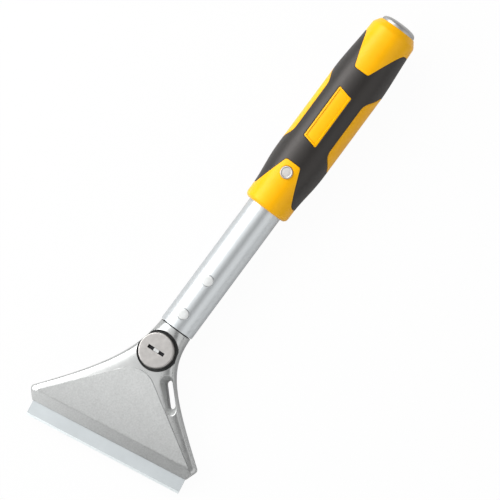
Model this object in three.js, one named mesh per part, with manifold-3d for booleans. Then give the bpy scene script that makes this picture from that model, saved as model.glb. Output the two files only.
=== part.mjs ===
// Heavy-duty scraper. A cast head clamps a wide blade under a coin-slotted dial, and a riveted
// tube carries a two-colour handle that ends in a steel strike cap.
// Millimetres, +Z up. The tool lies on its back, with the dial facing up and the handle along +X.

import * as THREE from 'three';
import { mergeVertices } from 'three/addons/utils/BufferGeometryUtils.js';
import Module from 'manifold-3d';

const wasm = await Module();
wasm.setup();

// Clearances
const FIT_GAP = 0.3; // between pieces that are pressed, moulded or bolted together
const SLIDE_GAP = 0.15; // on each side of the blade, round pins and rivets, and under heads
const CUT_MARGIN = 2; // how far a cutting shape runs past the face that it opens

// Blade
const BLADE_WIDTH = 100;
const BLADE_HEIGHT = 22; // from the cutting edge to the back
const BLADE_THICKNESS = 0.8;
const BLADE_CORNER = 4; // trimmed off each back corner, so that it stays inside the shoulders
const BLADE_SHOWING = 9.1; // from the cutting edge to the head's lip
const BLADE_DROP = 4.2; // from the tube's axis down to the middle of the blade
const EDGE_GRIND = 1.3; // length of the ground bevel
const EDGE_LAND = 0.1; // thickness left at the cutting edge

// Head in plan
const HEAD_SKEW = THREE.MathUtils.degToRad(9.5); // turn of the head in its own plane
const HEAD_BEND = 37.5; // from the collar to where the head's centreline leaves the tube's axis
const HEAD_REACH = 47; // from that bend to the cutting edge
const LIP_LENGTH = 7.4;
const LIP_OVERHANG = 0.4; // lip past each end of the blade
const SHOULDER_OVERHANG = 4.5; // shoulder past each end of the blade
const LEFT_EDGE_ANGLE = THREE.MathUtils.degToRad(48.2); // from the head's centreline
const RIGHT_EDGE_ANGLE = THREE.MathUtils.degToRad(45);
const LEFT_EDGE_FULLNESS = 0.75; // how far the edge keeps its line before it curves into the neck
const RIGHT_EDGE_FULLNESS = 0.85;

// Head in section
const COLLAR_DIAMETER = 20.3;
const SEAM_GAP = 0.6; // dark joint line between the collar and the tube
const HEAD_TOP = 3.2; // top at the lip, above the tube's axis
const HEAD_BACK = 9; // back at the lip, below the tube's axis
const WIDEST_LEVEL = -2; // level of the widest line at the lip
const LIP_SQUARENESS = 5.5; // section exponent at the lip
const ROUND_SECTION = 2; // section exponent of the round collar
const FRONT_LIP_THICKNESS = 1.2;
const REAR_LIP_THICKNESS = 1;
const REAR_LIP_LENGTH = 15;
const JAW_HEEL = 10; // rear jaw past the stud's axis

// Plateau on the front jaw
const PLATEAU_INSET = 5.3; // from the shoulder to the plateau's corner
const PLATEAU_EDGE_ANGLE = THREE.MathUtils.degToRad(49.5);
const PLATEAU_NOSE_RADIUS = 15;
const PLATEAU_RISE = 0.2;

// Hanging slot in the right shoulder
const HANG_SLOT_WIDTH = 4.2;
const HANG_SLOT_LENGTH = 17;
const HANG_SLOT_SETBACK = 46; // along the right edge, from the shoulder to the middle of the slot
const HANG_SLOT_WALL = 1.5;
const HANG_POCKET_LEVEL = 0.5; // where the drafted pocket meets the straight slot
const HANG_POCKET_DRAFT = THREE.MathUtils.degToRad(20);

// Clamp dial and what hangs on its stud
const DIAL_SETBACK = 16.6; // from the collar to the dial's axis
const DIAL_DIAMETER = 21;
const DIAL_HEIGHT = 6.2;
const DIAL_CHAMFER = 0.7;
const KNURL_TEETH = 54;
const KNURL_DEPTH = 0.45;
const COIN_SLOT_LENGTH = 10.7;
const COIN_SLOT_WIDTH = 2;
const COIN_SLOT_DEPTH = 2.4;
const COIN_SLOT_TURN = THREE.MathUtils.degToRad(4);
const RECESS_GAP = 1.5; // round the dial
const RECESS_LEVEL = 5.4; // floor of the recess above the tube's axis
const WASHER_DIAMETER = 17;
const WASHER_THICKNESS = 0.9;
const STUD_DIAMETER = 6;
const STUD_GROOVE_DEPTH = 0.6;
const CLIP_THICKNESS = 0.8;
const CLIP_DIAMETER = 9.6;
const CLIP_MOUTH = 3.6;
const CLIP_POCKET_DEPTH = 2.2;
const NUT_DIAMETER = 9;
const NUT_FLANGE_DIAMETER = 12;
const NUT_FLANGE_THICKNESS = 1;
const NUT_SINK = 0.5; // below the rear jaw's face

// Guide pins of the rear jaw
const GUIDE_PIN_DIAMETER = 4;
const GUIDE_PIN_SPACING = 42;
const GUIDE_PIN_SETBACK = 9; // behind the blade's back
const GUIDE_PIN_RISE = 4.5; // into the front jaw
const GUIDE_PIN_SINK = 0.8; // below the rear jaw's back

// Tube and the head's tang
const TUBE_DIAMETER = 21.3;
const TUBE_WALL = 1.9;
const TUBE_SHOWING = 85.3; // from the collar to the handle
const TANG_LENGTH = 42;
const HEAD_RIVET_SETBACK = 9.2; // from the tube's end to the lower rivet
const HEAD_RIVET_SPACING = 23.6;
const HEAD_RIVET_SHANK = 4.8;
const HEAD_RIVET_HEAD = 6.7;
const HEAD_RIVET_TOP = 4.8; // flat on the head
const HEAD_RIVET_PROUD = 0.75;

// Handle
const HANDLE_LENGTH = 127.7;
const CORE_WALL = 2; // yellow wall between the tube and the grip
const HANDLE_FRONT_STEP = 1.3; // handle's surface above the core at its front
const HANDLE_BELLY_STEP = 3.4;
const HANDLE_TAIL_STEP = 1.4;
const HANDLE_FRONT_ROUND = 3;
const BELLY_START = 37; // from the handle's front
const BELLY_END = 88;
const END_CHAMFER_LENGTH = 4;
const END_LAND = 0.3; // flat ring round the strike cap
const FRONT_LUG_LENGTH = 30.6;
const FRONT_LUG_TIP = 10; // width of the lug's tip
const FRONT_SIDE_LENGTH = 8.6; // yellow collar where the grip's points reach it
const REAR_LUG_LENGTH = 32.3;
const REAR_LUG_TIP = 9.6;
const REAR_SIDE_LENGTH = 10.3;
const LUG_CORNER = 1.8;
const PANEL_CENTRE = 63.2; // from the handle's front
const PANEL_LENGTH = 34.4;
const PANEL_WIDTH = 9.6;
const PANEL_LEAN = 2.2;
const PANEL_CORNER = 0.5;
const STRIPE_START = 37.1; // from the handle's front, at the middle of the side
const STRIPE_END = 91.2;
const STRIPE_FRONT_SLANT = 7.6;
const STRIPE_REAR_SLANT = 10;
const STRIPE_HALF_HEIGHT = 10.6;
const STRIPE_CORNER = 3.5;
const HANDLE_RIVET_SETBACK = 23.9; // from the handle's front
const HANDLE_RIVET_SHANK = 4.6;
const HANDLE_RIVET_HEAD = 7.6;
const HANDLE_RIVET_DISH = 5.7; // diameter of the hollow in the head
const HANDLE_RIVET_DISH_DEPTH = 0.4;
const HANDLE_RIVET_PROUD = 0.5;

// Strike cap
const CAP_OVERHANG = 0.3; // past the tube's outside
const CAP_POCKET = 4.5; // how deep the cap sits in the handle
const CAP_PROUD = 3.8;
const CAP_ROUND = 2.8;
const CAP_STEM = 14;

// Fineness of round shapes
const HANDLE_SIDES = 40;
const LARGE_SIDES = 32;
const SMALL_SIDES = 16;
const PROFILE_STEPS = 5;
const HEAD_STATIONS = 16;
const SECTION_POINTS = 36;
const CORNER_STEPS = 3;

// Solids

function solid(geometry) {
  geometry.deleteAttribute('normal');
  geometry.deleteAttribute('uv');
  const merged = mergeVertices(geometry, 1e-4);
  return new wasm.Manifold(new wasm.Mesh({
    numProp: 3,
    vertProperties: new Float32Array(merged.attributes.position.array),
    triVerts: new Uint32Array(merged.index.array),
  }));
}

function namedMesh(name, body, material) {
  const shape = body.getMesh();
  const geometry = new THREE.BufferGeometry();
  geometry.setAttribute('position', new THREE.BufferAttribute(shape.vertProperties, shape.numProp));
  geometry.setIndex(new THREE.BufferAttribute(shape.triVerts, 1));
  geometry.computeVertexNormals();
  const mesh = new THREE.Mesh(geometry, material);
  mesh.name = name;
  return mesh;
}

function finish(color, roughness, metalness) {
  return new THREE.MeshStandardMaterial({ color, roughness, metalness });
}

function pointList(pairs) {
  return pairs.map(([x, y]) => new THREE.Vector2(x, y));
}

// Upright round bar between two levels.
function post(diameter, bottom, top, sides, x = 0, y = 0) {
  const geometry = new THREE.CylinderGeometry(diameter / 2, diameter / 2, top - bottom, sides);
  return solid(geometry.rotateX(Math.PI / 2).translate(x, y, (bottom + top) / 2));
}

// Block between two corners.
function block(low, high) {
  const size = high.clone().sub(low);
  const middle = high.clone().add(low).multiplyScalar(0.5);
  return solid(new THREE.BoxGeometry(size.x, size.y, size.z).translate(middle.x, middle.y, middle.z));
}

// Plan outline carried straight up from one level to another.
function upright(shape, bottom, top) {
  const options = { depth: top - bottom, bevelEnabled: false, curveSegments: CORNER_STEPS };
  return solid(new THREE.ExtrudeGeometry(shape, options).translate(0, 0, bottom));
}

// Side outline, drawn in X and Z, carried across from -half to +half in Y.
function across(shape, half) {
  const options = { depth: 2 * half, bevelEnabled: false, curveSegments: CORNER_STEPS };
  return solid(new THREE.ExtrudeGeometry(shape, options).rotateX(Math.PI / 2).translate(0, half, 0));
}

// Round body along +X. The profile holds radius and distance along the axis.
function turnedAlongX(profile, sides) {
  return solid(new THREE.LatheGeometry(pointList(profile), sides).rotateZ(-Math.PI / 2));
}

// Round body along +Z. The profile holds radius and level.
function turnedAlongZ(profile, sides) {
  return solid(new THREE.LatheGeometry(pointList(profile), sides).rotateX(Math.PI / 2));
}

// Closed body through a row of rings with equal point counts.
function loft(rings) {
  const count = rings[0].length;
  const positions = rings.flat();
  const indices = [];
  for (let ring = 0; ring + 1 < rings.length; ring += 1) {
    for (let point = 0; point < count; point += 1) {
      const here = ring * count + point;
      const beside = ring * count + ((point + 1) % count);
      indices.push(here, beside, here + count);
      indices.push(beside, beside + count, here + count);
    }
  }
  for (const [ring, forward] of [[0, false], [rings.length - 1, true]]) {
    const middle = new THREE.Vector3();
    rings[ring].forEach((vertex) => middle.addScaledVector(vertex, 1 / count));
    positions.push(middle);
    for (let point = 0; point < count; point += 1) {
      const here = ring * count + point;
      const beside = ring * count + ((point + 1) % count);
      indices.push(positions.length - 1, ...(forward ? [here, beside] : [beside, here]));
    }
  }
  const geometry = new THREE.BufferGeometry().setFromPoints(positions);
  geometry.setIndex(indices);
  return solid(geometry);
}

// Straight-sided outline, in counter-clockwise order, moved out by grow and rounded at its corners.
function roundedOutline(pairs, radius, grow = 0) {
  const corners = pointList(pairs);
  const moved = corners.map((corner, index) => {
    const before = corners.at(index - 1);
    const after = corners[(index + 1) % corners.length];
    const arriving = corner.clone().sub(before).normalize();
    const leaving = after.clone().sub(corner).normalize();
    const outward = new THREE.Vector2(arriving.y + leaving.y, -arriving.x - leaving.x);
    return corner.clone().addScaledVector(outward, grow / (1 + arriving.dot(leaving)));
  });
  const shape = new THREE.Shape();
  moved.forEach((corner, index) => {
    const before = moved.at(index - 1);
    const after = moved[(index + 1) % moved.length];
    const arriving = corner.clone().sub(before).normalize();
    const leaving = after.clone().sub(corner).normalize();
    const reach = radius * Math.tan(Math.acos(arriving.dot(leaving)) / 2);
    const start = corner.clone().addScaledVector(arriving, -reach);
    const end = corner.clone().addScaledVector(leaving, reach);
    if (index === 0) {
      shape.moveTo(start.x, start.y);
    } else {
      shape.lineTo(start.x, start.y);
    }
    shape.quadraticCurveTo(corner.x, corner.y, end.x, end.y);
  });
  shape.closePath();
  return shape;
}

// Levels and places that the pieces share

const tubeRadius = TUBE_DIAMETER / 2;
const tubeBore = TUBE_DIAMETER - 2 * TUBE_WALL;
const collarRadius = COLLAR_DIAMETER / 2;
const splitLevel = -BLADE_DROP + BLADE_THICKNESS / 2 + SLIDE_GAP;
const rearJawTop = splitLevel - FIT_GAP;
const bladeSeatLevel = -BLADE_DROP - BLADE_THICKNESS / 2 - SLIDE_GAP;

// The head's own frame starts at the bend, with X along the head's centreline.
const edgeX = -HEAD_REACH;
const lipFrontX = edgeX + BLADE_SHOWING;
const lipBackX = lipFrontX + LIP_LENGTH;
const bladeBackX = edgeX + BLADE_HEIGHT;
const lipHalf = BLADE_WIDTH / 2 + LIP_OVERHANG;
const shoulderHalf = BLADE_WIDTH / 2 + SHOULDER_OVERHANG;
const headHalf = shoulderHalf + CUT_MARGIN;
const neckAxis = new THREE.Vector2(Math.cos(HEAD_SKEW), -Math.sin(HEAD_SKEW));
const neckSide = new THREE.Vector2(Math.sin(HEAD_SKEW), Math.cos(HEAD_SKEW));
const dialSpot = neckAxis.clone().multiplyScalar(HEAD_BEND - DIAL_SETBACK);
const collarSpot = neckAxis.clone().multiplyScalar(HEAD_BEND - SEAM_GAP);
const jawHeelX = dialSpot.x + JAW_HEEL;
const toolToHead = new THREE.Matrix4()
  .makeRotationZ(-HEAD_SKEW)
  .multiply(new THREE.Matrix4().makeTranslation(HEAD_BEND, 0, 0));

function inHead(body) {
  return body.transform(toolToHead.elements);
}

// Share of the way from the lip to the collar, along the head's centreline.
function neckShare(x) {
  return (x - lipBackX) / (collarSpot.x - lipBackX);
}

function headTop(x) {
  return THREE.MathUtils.lerp(HEAD_TOP, collarRadius, neckShare(x));
}

function headBack(x) {
  return -THREE.MathUtils.lerp(HEAD_BACK, collarRadius, neckShare(x));
}

// Plan edge of the head from its shoulder to the collar: straight at first, then into the neck.
function planEdge(side, angle, fullness) {
  const shoulder = new THREE.Vector2(lipBackX, side * shoulderHalf);
  const heading = new THREE.Vector2(Math.cos(angle), -side * Math.sin(angle));
  const collar = collarSpot.clone().addScaledVector(neckSide, side * collarRadius);
  const run = collar.clone().sub(shoulder).cross(neckAxis) / heading.cross(neckAxis);
  const corner = shoulder.clone().addScaledVector(heading, run);
  return new THREE.CubicBezierCurve(
    shoulder,
    shoulder.clone().lerp(corner, fullness),
    collar.clone().lerp(corner, fullness),
    collar,
  );
}

const leftEdge = planEdge(1, LEFT_EDGE_ANGLE, LEFT_EDGE_FULLNESS);
const rightEdge = planEdge(-1, RIGHT_EDGE_ANGLE, RIGHT_EDGE_FULLNESS);

// Section of the whole head between two plan points, from squarish at the lip to round at the collar.
function headSection(left, right, share) {
  const middle = left.clone().add(right).multiplyScalar(0.5);
  const half = left.clone().sub(right).multiplyScalar(0.5);
  const power = THREE.MathUtils.lerp(LIP_SQUARENESS, ROUND_SECTION, share * share);
  const level = THREE.MathUtils.lerp(WIDEST_LEVEL, 0, share);
  const above = headTop(middle.x) - level;
  const below = level - headBack(middle.x);
  const bulge = (value) => Math.sign(value) * Math.abs(value) ** (2 / power);
  const ring = [];
  for (let index = 0; index < SECTION_POINTS; index += 1) {
    const angle = (2 * Math.PI * index) / SECTION_POINTS;
    const rise = bulge(Math.sin(angle));
    const spot = middle.clone().addScaledVector(half, bulge(Math.cos(angle)));
    ring.push(new THREE.Vector3(spot.x, spot.y, level + rise * (rise > 0 ? above : below)));
  }
  return ring;
}

function headForm() {
  const lip = [new THREE.Vector2(lipFrontX, lipHalf), new THREE.Vector2(lipFrontX, -lipHalf)];
  const rings = [headSection(...lip, 0)];
  for (let station = 0; station <= HEAD_STATIONS; station += 1) {
    const share = station / HEAD_STATIONS;
    rings.push(headSection(leftEdge.getPoint(share), rightEdge.getPoint(share), share));
  }
  return loft(rings);
}

// Wedge that slopes a lip from the blade's face to the head's face. Points are given in X and Z.
function lipCut(edge, face) {
  const slope = (face.y - edge.y) / (face.x - edge.x);
  const ahead = edge.x - CUT_MARGIN;
  const behind = face.x + CUT_MARGIN;
  const low = [ahead, edge.y - slope * CUT_MARGIN];
  const high = [behind, face.y + slope * CUT_MARGIN];
  const outside = [ahead, high[1]];
  const points = slope > 0 ? [low, high, outside] : [low, outside, high];
  return across(new THREE.Shape(pointList(points)), headHalf);
}

// Flat raised field with a round nose, lying on the slope of the head's top.
function plateau() {
  const half = shoulderHalf - PLATEAU_INSET;
  const apex = half / Math.tan(PLATEAU_EDGE_ANGLE);
  const touch = PLATEAU_NOSE_RADIUS / Math.tan(PLATEAU_EDGE_ANGLE);
  const back = apex - touch * Math.cos(PLATEAU_EDGE_ANGLE);
  const turn = Math.PI / 2 - PLATEAU_EDGE_ANGLE;
  const shape = new THREE.Shape();
  shape.moveTo(-LIP_LENGTH, half);
  shape.lineTo(-LIP_LENGTH, -half);
  shape.lineTo(0, -half);
  shape.lineTo(back, -touch * Math.sin(PLATEAU_EDGE_ANGLE));
  shape.absarc(apex - PLATEAU_NOSE_RADIUS / Math.sin(PLATEAU_EDGE_ANGLE), 0,
    PLATEAU_NOSE_RADIUS, -turn, turn, false);
  shape.lineTo(0, half);
  const slope = Math.atan2(headTop(lipBackX + 1) - headTop(lipBackX), 1);
  const depth = headTop(lipBackX) + PLATEAU_RISE - splitLevel - FRONT_LIP_THICKNESS;
  const options = { depth, bevelEnabled: false, curveSegments: 3 * CORNER_STEPS };
  const geometry = new THREE.ExtrudeGeometry(shape, options).translate(0, 0, PLATEAU_RISE - depth);
  return solid(geometry.rotateY(-slope).translate(lipBackX, 0, headTop(lipBackX)));
}

// Straight slot and the drafted pocket above it, parallel to the right edge.
function hangingSlot() {
  const share = HANG_SLOT_SETBACK / rightEdge.getLength();
  const along = rightEdge.getTangentAt(share);
  const inward = new THREE.Vector2(-along.y, along.x);
  const inset = HANG_SLOT_WALL + HANG_SLOT_WIDTH / 2;
  const centre = rightEdge.getPointAt(share).addScaledVector(inward, inset);
  const bottom = -collarRadius - CUT_MARGIN;
  const top = collarRadius + CUT_MARGIN;
  const flare = (top - HANG_POCKET_LEVEL) * Math.tan(HANG_POCKET_DRAFT);
  const rings = [[bottom, 0], [HANG_POCKET_LEVEL, 0], [top, flare]].map(([level, grow]) => {
    const radius = HANG_SLOT_WIDTH / 2 + grow;
    const straight = (HANG_SLOT_LENGTH - HANG_SLOT_WIDTH) / 2;
    return Array.from({ length: 2 * SMALL_SIDES }, (_, index) => {
      const angle = (Math.PI * (index + 0.5)) / SMALL_SIDES;
      const end = straight * Math.sign(Math.cos(angle));
      const spot = centre.clone()
        .addScaledVector(along, end + radius * Math.cos(angle))
        .addScaledVector(inward, radius * Math.sin(angle));
      return new THREE.Vector3(spot.x, spot.y, level);
    });
  });
  return loft(rings);
}

const guidePinX = bladeBackX + GUIDE_PIN_SETBACK;
const guidePinSides = [['left', GUIDE_PIN_SPACING / 2], ['right', -GUIDE_PIN_SPACING / 2]];
const headRivetSpots = [
  ['lower', HEAD_RIVET_SETBACK],
  ['upper', HEAD_RIVET_SETBACK + HEAD_RIVET_SPACING],
];
const dialBottom = RECESS_LEVEL + WASHER_THICKNESS + 2 * SLIDE_GAP;
const dialTop = dialBottom + DIAL_HEIGHT;
const clipLevel = splitLevel + (CLIP_POCKET_DEPTH - CLIP_THICKNESS) / 2;
const nutBase = headBack(dialSpot.x);
const headBody = headForm();
const hangingCut = hangingSlot();

// Pieces of the head

function bladeBody() {
  const half = BLADE_THICKNESS / 2;
  const profile = pointList([
    [edgeX, -EDGE_LAND / 2],
    [edgeX + EDGE_GRIND, -half],
    [bladeBackX, -half],
    [bladeBackX, half],
    [edgeX + EDGE_GRIND, half],
    [edgeX, EDGE_LAND / 2],
  ]);
  const side = BLADE_WIDTH / 2;
  let strip = across(new THREE.Shape(profile), side);
  for (const way of [1, -1]) {
    const corner = pointList([
      [bladeBackX - BLADE_CORNER - CUT_MARGIN, way * (side + CUT_MARGIN)],
      [bladeBackX + CUT_MARGIN, way * (side - BLADE_CORNER - CUT_MARGIN)],
      [bladeBackX + CUT_MARGIN, way * (side + CUT_MARGIN)],
    ]);
    strip = strip.subtract(upright(new THREE.Shape(corner), -BLADE_THICKNESS, BLADE_THICKNESS));
  }
  return strip.translate(0, 0, -BLADE_DROP);
}

function frontJawBody() {
  const lipEdge = new THREE.Vector2(lipFrontX, splitLevel + FRONT_LIP_THICKNESS);
  const lipFace = new THREE.Vector2(lipBackX, headTop(lipBackX) + PLATEAU_RISE);
  const underside = block(
    new THREE.Vector3(edgeX, -headHalf, headBack(collarSpot.x) - CUT_MARGIN),
    new THREE.Vector3(jawHeelX + FIT_GAP, headHalf, splitLevel),
  );
  const { x, y } = dialSpot;
  const recessDiameter = DIAL_DIAMETER + 2 * RECESS_GAP;
  const tang = turnedAlongX([
    [0, -SEAM_GAP - CUT_MARGIN],
    [tubeBore / 2 - FIT_GAP, -SEAM_GAP - CUT_MARGIN],
    [tubeBore / 2 - FIT_GAP, TANG_LENGTH],
    [0, TANG_LENGTH],
  ], LARGE_SIDES);
  let body = headBody.add(plateau());
  body = body.subtract(lipCut(lipEdge, lipFace)).subtract(underside).subtract(hangingCut);
  body = body.subtract(post(recessDiameter, RECESS_LEVEL, dialTop, LARGE_SIDES, x, y));
  body = body.subtract(post(STUD_DIAMETER + 2 * FIT_GAP, splitLevel - 1, dialTop, SMALL_SIDES, x, y));
  body = body.subtract(
    post(CLIP_DIAMETER + 2 * FIT_GAP, splitLevel - 1, splitLevel + CLIP_POCKET_DEPTH, LARGE_SIDES, x, y),
  );
  for (const [, side] of guidePinSides) {
    const hole = GUIDE_PIN_DIAMETER + 2 * SLIDE_GAP;
    const top = splitLevel + GUIDE_PIN_RISE + SLIDE_GAP;
    body = body.subtract(post(hole, splitLevel - 1, top, SMALL_SIDES, guidePinX, side));
  }
  body = body.add(inHead(tang));
  for (const [, spot] of headRivetSpots) {
    const hole = post(HEAD_RIVET_SHANK + 2 * SLIDE_GAP, -tubeRadius, tubeRadius, SMALL_SIDES, spot);
    body = body.subtract(inHead(hole));
  }
  return body;
}

function rearJawBody() {
  const lipEdge = new THREE.Vector2(lipFrontX, bladeSeatLevel - REAR_LIP_THICKNESS);
  const lipFaceX = lipFrontX + REAR_LIP_LENGTH;
  const lipFace = new THREE.Vector2(lipFaceX, headBack(lipFaceX));
  const envelope = block(
    new THREE.Vector3(edgeX, -headHalf, headBack(collarSpot.x) - CUT_MARGIN),
    new THREE.Vector3(jawHeelX, headHalf, rearJawTop),
  );
  const bladeSeat = block(
    new THREE.Vector3(edgeX, -BLADE_WIDTH / 2 - SLIDE_GAP, bladeSeatLevel),
    new THREE.Vector3(bladeBackX + SLIDE_GAP, BLADE_WIDTH / 2 + SLIDE_GAP, splitLevel),
  );
  const { x, y } = dialSpot;
  const flangeTop = nutBase + NUT_FLANGE_THICKNESS + SLIDE_GAP;
  const below = nutBase - CUT_MARGIN;
  let body = headBody.intersect(envelope).subtract(lipCut(lipEdge, lipFace));
  body = body.subtract(bladeSeat).subtract(hangingCut);
  body = body.subtract(post(NUT_DIAMETER + 2 * SLIDE_GAP, below, splitLevel, LARGE_SIDES, x, y));
  body = body.subtract(post(NUT_FLANGE_DIAMETER + 2 * SLIDE_GAP, below, flangeTop, LARGE_SIDES, x, y));
  for (const [, side] of guidePinSides) {
    const hole = GUIDE_PIN_DIAMETER + 2 * SLIDE_GAP;
    body = body.subtract(post(hole, below, splitLevel, SMALL_SIDES, guidePinX, side));
  }
  return body;
}

function guidePinBody() {
  const bottom = headBack(guidePinX) + GUIDE_PIN_SINK;
  return post(GUIDE_PIN_DIAMETER, bottom, splitLevel + GUIDE_PIN_RISE, SMALL_SIDES);
}

// Knurled disc with chamfered rims, a bore for the stud and a coin slot in its face.
function dialBody() {
  const radius = DIAL_DIAMETER / 2;
  const outline = Array.from({ length: 2 * KNURL_TEETH }, (_, index) => {
    const angle = (Math.PI * index) / KNURL_TEETH;
    const reach = index % 2 ? radius - KNURL_DEPTH : radius;
    return [reach * Math.cos(angle), reach * Math.sin(angle)];
  });
  const rim = turnedAlongZ([
    [0, dialBottom],
    [radius - DIAL_CHAMFER, dialBottom],
    [radius, dialBottom + DIAL_CHAMFER],
    [radius, dialTop - DIAL_CHAMFER],
    [radius - DIAL_CHAMFER, dialTop],
    [0, dialTop],
  ], LARGE_SIDES);
  const half = new THREE.Vector3(COIN_SLOT_WIDTH, COIN_SLOT_LENGTH, 0).multiplyScalar(0.5);
  const slot = block(
    half.clone().negate().setZ(dialTop - COIN_SLOT_DEPTH),
    half.clone().setZ(dialTop + CUT_MARGIN),
  );
  return upright(new THREE.Shape(pointList(outline)), dialBottom, dialTop)
    .intersect(rim)
    .subtract(post(STUD_DIAMETER + 2 * SLIDE_GAP, dialBottom - 1, dialTop - COIN_SLOT_DEPTH, SMALL_SIDES))
    .subtract(slot.rotate([0, 0, THREE.MathUtils.radToDeg(COIN_SLOT_TURN)]));
}

function studBody() {
  const radius = STUD_DIAMETER / 2;
  const neck = radius - STUD_GROOVE_DEPTH;
  return turnedAlongZ([
    [0, nutBase],
    [radius, nutBase],
    [radius, clipLevel - SLIDE_GAP],
    [neck, clipLevel - SLIDE_GAP],
    [neck, clipLevel + CLIP_THICKNESS + SLIDE_GAP],
    [radius, clipLevel + CLIP_THICKNESS + SLIDE_GAP],
    [radius, dialTop - COIN_SLOT_DEPTH - SLIDE_GAP],
    [0, dialTop - COIN_SLOT_DEPTH - SLIDE_GAP],
  ], SMALL_SIDES);
}

function washerBody() {
  const bottom = RECESS_LEVEL + SLIDE_GAP;
  const top = bottom + WASHER_THICKNESS;
  return post(WASHER_DIAMETER, bottom, top, LARGE_SIDES)
    .subtract(post(STUD_DIAMETER + 2 * FIT_GAP, bottom - 1, top + 1, SMALL_SIDES));
}

function clipBody() {
  const top = clipLevel + CLIP_THICKNESS;
  const bore = STUD_DIAMETER - 2 * STUD_GROOVE_DEPTH + 2 * SLIDE_GAP;
  const mouth = block(
    new THREE.Vector3(0, -CLIP_MOUTH / 2, clipLevel - 1),
    new THREE.Vector3(CLIP_DIAMETER, CLIP_MOUTH / 2, top + 1),
  );
  return post(CLIP_DIAMETER, clipLevel, top, LARGE_SIDES)
    .subtract(post(bore, clipLevel - 1, top + 1, SMALL_SIDES))
    .subtract(mouth);
}

function nutBody() {
  const top = rearJawTop - NUT_SINK;
  return post(NUT_DIAMETER, nutBase, top, LARGE_SIDES)
    .add(post(NUT_FLANGE_DIAMETER, nutBase, nutBase + NUT_FLANGE_THICKNESS, LARGE_SIDES))
    .subtract(post(STUD_DIAMETER + 2 * FIT_GAP, nutBase - 1, top + 1, SMALL_SIDES));
}

// Pieces of the shaft

const handleEnd = TUBE_SHOWING + HANDLE_LENGTH;
const tubeEnd = handleEnd - CAP_POCKET;
const coreRadius = tubeRadius + FIT_GAP + CORE_WALL;

function handleRadius(x) {
  const frontRise = THREE.MathUtils.smootherstep(x, HANDLE_FRONT_ROUND, BELLY_START);
  const tailFall = THREE.MathUtils.smoothstep(x, BELLY_END, HANDLE_LENGTH - END_CHAMFER_LENGTH);
  const step = THREE.MathUtils.lerp(HANDLE_FRONT_STEP, HANDLE_BELLY_STEP, frontRise);
  return coreRadius + THREE.MathUtils.lerp(step, HANDLE_TAIL_STEP, tailFall);
}

// Level of the flat on a round surface that a rivet's head sits on.
function rivetSeat(surfaceRadius, headDiameter) {
  return Math.sqrt(surfaceRadius ** 2 - (headDiameter / 2 + FIT_GAP) ** 2);
}

// Flats for both heads of a rivet and the hole between them.
function rivetCut(surfaceRadius, headDiameter, shankDiameter) {
  const seat = rivetSeat(surfaceRadius, headDiameter);
  const outside = surfaceRadius + CUT_MARGIN;
  const pocket = headDiameter + 2 * FIT_GAP;
  return post(shankDiameter + 2 * SLIDE_GAP, -outside, outside, SMALL_SIDES)
    .add(post(pocket, seat, outside, SMALL_SIDES))
    .add(post(pocket, -outside, -seat, SMALL_SIDES));
}

// Rivet through a round body. The head's outline holds radius and level, from rim to middle.
function rivetBody(surfaceRadius, headDiameter, shankDiameter, headTopOutline) {
  const seat = rivetSeat(surfaceRadius, headDiameter) + SLIDE_GAP;
  const upper = [
    [shankDiameter / 2, seat],
    [headDiameter / 2, seat],
    ...headTopOutline,
  ];
  const lower = upper.map(([radius, level]) => [radius, -level]).reverse();
  return turnedAlongZ([...lower, ...upper], SMALL_SIDES);
}

function tubeBody() {
  let body = turnedAlongX([
    [tubeBore / 2, 0],
    [tubeRadius, 0],
    [tubeRadius, tubeEnd],
    [tubeBore / 2, tubeEnd],
    [tubeBore / 2, 0],
  ], HANDLE_SIDES);
  for (const [, spot] of headRivetSpots) {
    body = body.subtract(rivetCut(tubeRadius, HEAD_RIVET_HEAD, HEAD_RIVET_SHANK).translate(spot, 0, 0));
  }
  const handleHole = post(HANDLE_RIVET_SHANK + 2 * SLIDE_GAP, -tubeRadius - 1, tubeRadius + 1, SMALL_SIDES);
  return body.subtract(handleHole.translate(TUBE_SHOWING + HANDLE_RIVET_SETBACK, 0, 0));
}

function headRivetBody() {
  const top = tubeRadius + HEAD_RIVET_PROUD;
  return rivetBody(tubeRadius, HEAD_RIVET_HEAD, HEAD_RIVET_SHANK, [
    [HEAD_RIVET_HEAD / 2, tubeRadius],
    [HEAD_RIVET_TOP / 2, top],
    [0, top],
  ]);
}

function capBody() {
  const stem = tubeBore / 2 - FIT_GAP;
  const rim = tubeRadius + CAP_OVERHANG;
  const seat = tubeEnd + SLIDE_GAP;
  const top = handleEnd + CAP_PROUD;
  const profile = [[0, tubeEnd - CAP_STEM], [stem, tubeEnd - CAP_STEM], [stem, seat], [rim, seat]];
  for (let step = 0; step <= CORNER_STEPS; step += 1) {
    const angle = (Math.PI / 2) * (step / CORNER_STEPS);
    profile.push([
      rim - CAP_ROUND * (1 - Math.cos(angle)),
      top - CAP_ROUND * (1 - Math.sin(angle)),
    ]);
  }
  profile.push([0, top]);
  return turnedAlongX(profile, LARGE_SIDES);
}

// Pieces of the handle, drawn from the handle's own front face

const rivetSurface = handleRadius(HANDLE_RIVET_SETBACK);
const handleHalf = coreRadius + HANDLE_BELLY_STEP + CUT_MARGIN;

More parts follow.
